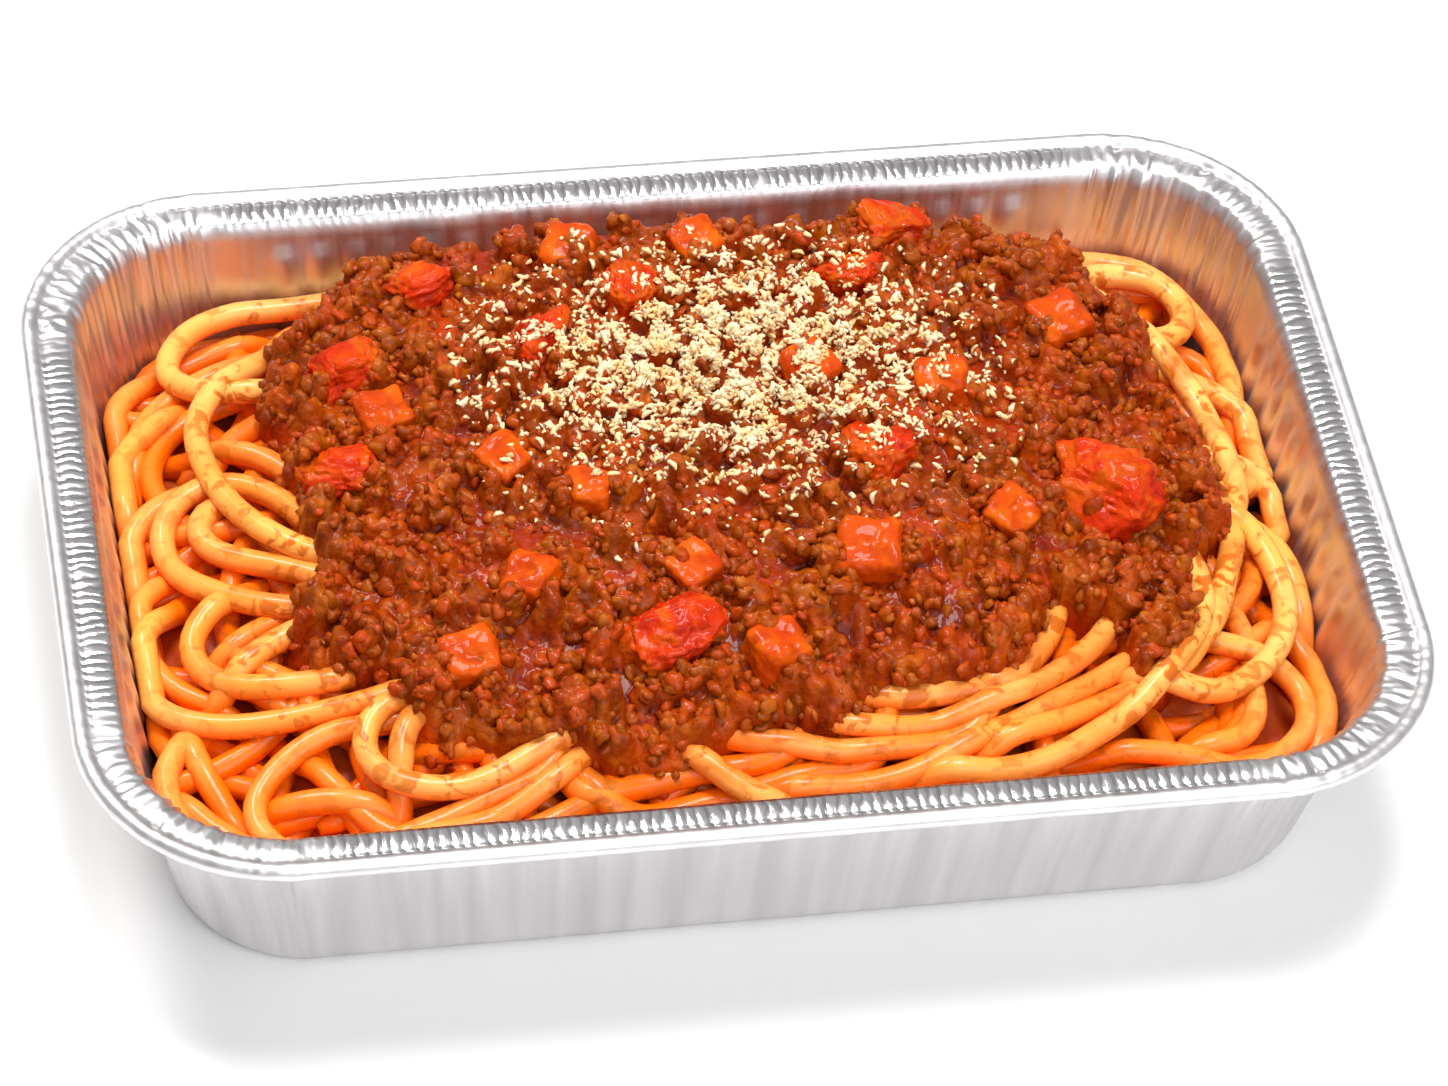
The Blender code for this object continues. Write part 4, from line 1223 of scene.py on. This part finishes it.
# Carrot dice: place, size, turn and tip
carrotPieces = {
    "carrot_left": (-51, 20, 8.0, 15, 10),
    "carrot_mid_left": (-34, 4, 7.0, 35, 14),
    "carrot_mid": (-22, -5, 8.0, -20, 8),
    "carrot_front_mid": (-8, -22, 7.5, 30, 10),
    "carrot_front": (3, -38, 8.5, 22, 6),
    "carrot_front_right": (21, -21, 10.0, -15, 16),
    "carrot_right": (45, -14, 8.0, 40, 12),
    "carrot_front_left": (-44, -32, 9.0, 10, 14),
    "carrot_low_left": (-33, -21, 8.0, -35, 12),
    "carrot_centre": (18, 19, 8.0, 25, 10),
    "carrot_mid_right": (39, 14, 8.0, -10, 15),
    "carrot_back_right": (62, 31, 9.0, 20, 12),
    "carrot_back_left": (-16, 53, 8.5, -25, 12),
    "carrot_back": (5, 53, 8.0, 30, 14),
}


tomatoSet = {
    "square": 0.8, "cuts": 4, "cutFrom": (0.55, 0.8), "cutShare": 0.85, "lean": 0.3, "raise": 0.02,
    "size": 1.08, "folds": 0.40, "creases": 0.05, "grain": 0.15, "fineGrain": 0.06,
}

carrotSet = {
    "cuts": 15, "power": (5.0, 8.0), "taper": 0.15, "tall": (0.85, 1.0),
    "bulge": 0.9, "grain": 0.35, "sink": 0.08,
}


# Whether a place is less than room outside a topping
def nearTopping(x, y, room):
    for px, py, sizeX, sizeY, _, _ in tomatoPieces.values():
        if math.hypot(x - px, y - py) < (sizeX + sizeY) / 4 + room:
            return True
    for px, py, size, _, _ in carrotPieces.values():
        if math.hypot(x - px, y - py) < size * 0.6 + room:
            return True
    return False


# A torn lump of stewed tomato: a squarish ball with a few flat cuts, folds and fine grain
def makeTomato(name, place, material, top):
    x, y, sizeX, sizeY, sizeZ, turn = place
    draw = random.Random(int(abs(x * 31 + y * 7)))
    bpy.ops.mesh.primitive_ico_sphere_add(subdivisions=5, radius=1.0)
    piece = bpy.context.object
    piece.name = name + "_flesh"
    points = getPoints(piece) * mm
    shaped = np.sign(points) * np.abs(points) ** tomatoSet["square"]
    for _ in range(tomatoSet["cuts"]):
        cut = np.array((draw.gauss(0, 1), draw.gauss(0, 1), draw.gauss(0, 0.7)))
        cut /= np.linalg.norm(cut)
        over = np.maximum(shaped @ cut - draw.uniform(*tomatoSet["cutFrom"]), 0.0)
        shaped -= over[:, None] * cut * tomatoSet["cutShare"]
    relief = tomatoSet["folds"] * noiseAt(points, 1.2, x * 0.7)
    relief += tomatoSet["creases"] * (1.0 - 2.0 * np.abs(noiseAt(points, 2.3, y * 0.9)))
    relief += tomatoSet["grain"] * noiseAt(points, 6.0, x)
    relief += tomatoSet["fineGrain"] * noiseAt(points, 11.0, y)
    shaped *= (tomatoSet["size"] + relief)[:, None]
    shaped = shaped * np.array((sizeX, sizeY, sizeZ)) / 2
    lean = [draw.uniform(-tomatoSet["lean"], tomatoSet["lean"]) for _ in range(2)]
    turned = np.array(Euler((*lean, math.radians(turn))).to_matrix())
    height = top.level(x, y, 9) + tomatoSet["raise"] * sizeZ
    setPoints(piece, shaped @ turned.T + (x, y, height))
    finishPiece(piece, material, "tomato", name)
    top.add(x, y, height, sizeZ / 2)


# A carrot die with soft edges, a little uneven and tipped
def makeCarrot(name, place, material, top):
    x, y, size, turn, tip = place
    draw = random.Random(int(abs(x * 17 + y * 5)))
    bpy.ops.mesh.primitive_cube_add(size=2 * mm)
    piece = bpy.context.object
    piece.name = name + "_die"
    edit(piece)
    bpy.ops.mesh.subdivide(number_cuts=carrotSet["cuts"])
    bpy.ops.object.mode_set(mode="OBJECT")
    points = getPoints(piece)
    power = draw.uniform(*carrotSet["power"])
    points *= size / 2 / ((np.abs(points) ** power).sum(axis=1) ** (1 / power))[:, None]
    for axis in (0, 1):
        slant = draw.uniform(-carrotSet["taper"], carrotSet["taper"])
        points[:, axis] *= 1.0 + slant * points[:, axis + 1] / size
    points[:, 2] *= draw.uniform(*carrotSet["tall"])
    relief = carrotSet["bulge"] * noiseAt(points, 0.26, x * 0.3)
    relief += carrotSet["grain"] * noiseAt(points, 1.0, y * 0.3)
    away = points / np.maximum(np.linalg.norm(points, axis=1), 0.001)[:, None]
    points += away * relief[:, None]
    turned = np.array(Euler((math.radians(tip), math.radians(-tip * 0.6), math.radians(turn))).to_matrix())
    height = top.level(x, y, 9) - carrotSet["sink"] * size
    setPoints(piece, points @ turned.T + (x, y, height))
    finishPiece(piece, material, "carrot", name)
    top.add(x, y, height, size * 0.5)


def makeToppings(top):
    red, orange = simpleMaterial("wetTomato"), simpleMaterial("wetCarrot")
    for name, place in tomatoPieces.items():
        makeTomato(name, place, red, top)
    for name, place in carrotPieces.items():
        makeCarrot(name, place, orange, top)
    print("toppings:", len(tomatoPieces) + len(carrotPieces))


# Loose grains of mince, half sunk in the craggy surface

minceSet = {
    "grains": 1500, "low": 900, "steep": 1100, "collar": 6.0,
    "size": (0.6, 1.4), "long": (0.9, 1.5), "wide": (0.8, 1.1), "flat": (0.7, 1.0),
    "models": 9, "rough": 0.75, "sunk": 0.30, "wallGap": 1.0, "edge": -3.2, "tallest": 6.2,
    "seed": 8, "pieces": 3,
}


# Places on what stands high, and then in the wide hollows
def loosePlaces(draw, top):
    high, low = [], []
    while len(high) < minceSet["grains"] or len(low) < minceSet["low"]:
        x, y = draw.uniform(*sauceSet["spanX"]), draw.uniform(*sauceSet["spanY"])
        if top.gapAt(x, y) < -2.4:
            continue
        if top.at(x, y) > top.level(x, y, 5) + draw.gauss(-0.1, 0.5):
            high.append((x, y))
        elif top.at(x, y) < top.level(x, y, 12) - 0.4:
            low.append((x, y))
    return high[:minceSet["grains"]] + low[:minceSet["low"]]


# Places on the steep sides, as many as their true area asks for
def steepPlaces(draw, top):
    slopeY, slopeX = np.gradient(top.height, top.cell)
    steep = np.clip(np.hypot(slopeX, slopeY) - 1.0, 0.0, 4.0)
    steep[top.gaps < minceSet["edge"]] = 0.0
    rows, columns = np.nonzero(steep)
    picks = draw.choices(range(len(rows)), weights=steep[rows, columns], k=minceSet["steep"])
    return [(top.xs[columns[pick]], top.ys[rows[pick]]) for pick in picks]


# Places close round each piece of carrot and tomato
def collarPlaces(draw):
    rings = [(x, y, size * 0.52) for x, y, size, _, _ in carrotPieces.values()]
    rings += [(x, y, (sizeX + sizeY) / 4) for x, y, sizeX, sizeY, _, _ in tomatoPieces.values()]
    places = []
    for x, y, reach in rings:
        for _ in range(int(reach * minceSet["collar"])):
            turn = draw.uniform(0, 2 * math.pi)
            away = reach * draw.uniform(1.0, 1.35)
            places.append((x + away * math.cos(turn), y + away * math.sin(turn)))
    return places


def makeMince(top):
    draw = random.Random(minceSet["seed"])
    models = grainModels(minceSet["models"], minceSet["rough"], 2)
    copies = []
    for x, y in loosePlaces(draw, top) + steepPlaces(draw, top) + collarPlaces(draw):
        if top.gapAt(x, y) < minceSet["edge"] or nearTopping(x, y, -0.8):
            continue
        if top.heapedAt(x, y) > minceSet["tallest"]:
            continue
        size = draw.uniform(*minceSet["size"])
        sizes = [size * draw.uniform(*minceSet[side]) for side in ("long", "wide", "flat")]
        height = top.at(x, y) - minceSet["sunk"] * size
        room = trayInfo["sheet"] + minceSet["wallGap"] + size
        spot = (*keepInside(np.array([(x, y)]), room, height)[0], height)
        turn = [draw.uniform(0, 6.3) for _ in range(3)]
        number = draw.randrange(minceSet["models"])
        copies.append((number, spot, sizes, turn, draw.uniform(0.0, 1.0) ** 1.5))
        top.add(x, y, height, size * 0.8)
    meat = simpleMaterial("mincedMeat")
    for k in range(minceSet["pieces"]):
        joinCopies(f"mince{k}", models, copies[k::minceSet["pieces"]], meat, "sauce")


# Grated cheese: fine grains and short curls, thickest in the middle, caught on what stands high

cheeseSet = {
    "count": 5400, "centre": (6.0, 21.0), "spread": (20.0, 14.0), "reach": 46.0, "span": (-20, 55),
    "curls": 5, "curl": (0.8, 2.1), "grains": 3, "grain": (0.24, 0.52), "proud": 0.15, "seed": 3,
}


# Bent bars with thin ends, to copy
def curlModels(count):
    models = []
    for k in range(count):
        bpy.ops.mesh.primitive_cylinder_add(vertices=4, radius=0.5, depth=1.0, end_fill_type="TRIFAN")
        curl = bpy.context.object
        edit(curl)
        for cut in (-0.17, 0.17):
            bpy.ops.mesh.select_all(action="SELECT")
            bpy.ops.mesh.bisect(plane_co=(0.0, 0.0, cut), plane_no=(0.0, 0.0, 1.0))
        bpy.ops.mesh.select_all(action="SELECT")
        bpy.ops.mesh.quads_convert_to_tris()
        bpy.ops.object.mode_set(mode="OBJECT")
        points = getPoints(curl)[:, (2, 0, 1)] * mm
        along = points[:, 0] * 2.0
        points[:, 1:] *= (0.62 - 0.34 * along**2)[:, None]
        points[:, 1] += (0.10 + 0.06 * k) * along**2
        points[:, 2] += 0.14 * np.sin(along * (1.3 + 0.4 * k) + k)
        models.append(takeModel(curl, points))
    return models


def makeCheese(top):
    draw = random.Random(cheeseSet["seed"])
    models = curlModels(cheeseSet["curls"]) + grainModels(cheeseSet["grains"], 0.5, 1)
    (centreX, centreY), (spreadX, spreadY) = cheeseSet["centre"], cheeseSet["spread"]
    front, back = cheeseSet["span"]
    copies = []
    while len(copies) < cheeseSet["count"]:
        x, y = draw.gauss(centreX, spreadX), draw.gauss(centreY, spreadY)
        if abs(x - centreX) > cheeseSet["reach"] or not front < y < back:
            continue
        if top.at(x, y) < top.level(x, y, 4) + draw.gauss(-0.1, 0.45):
            continue
        number = draw.randrange(len(models))
        size = draw.uniform(*cheeseSet["curl" if number < cheeseSet["curls"] else "grain"])
        sizes = (size, size * draw.uniform(0.7, 1.1), size * draw.uniform(0.6, 1.0))
        turn = (draw.gauss(0, 0.6), draw.gauss(0, 0.5), draw.uniform(0, 6.3))
        height = top.at(x, y) + cheeseSet["proud"]
        copies.append((number, (x, y, height), sizes, turn, draw.random()))
        if draw.random() < 0.3:
            top.add(x, y, height, 0.5)
    joinCopies("gratedCheese", models, copies, simpleMaterial("gratedCheese"), "sauce")


makeCamera()
makeLights()
makeFloor()
print("camera, light and floor done")
makeTray()
strandHeap = makeSpaghetti()
sauceTop = makeSauce(strandHeap)
makeToppings(sauceTop)
makeMince(sauceTop)
makeCheese(sauceTop)
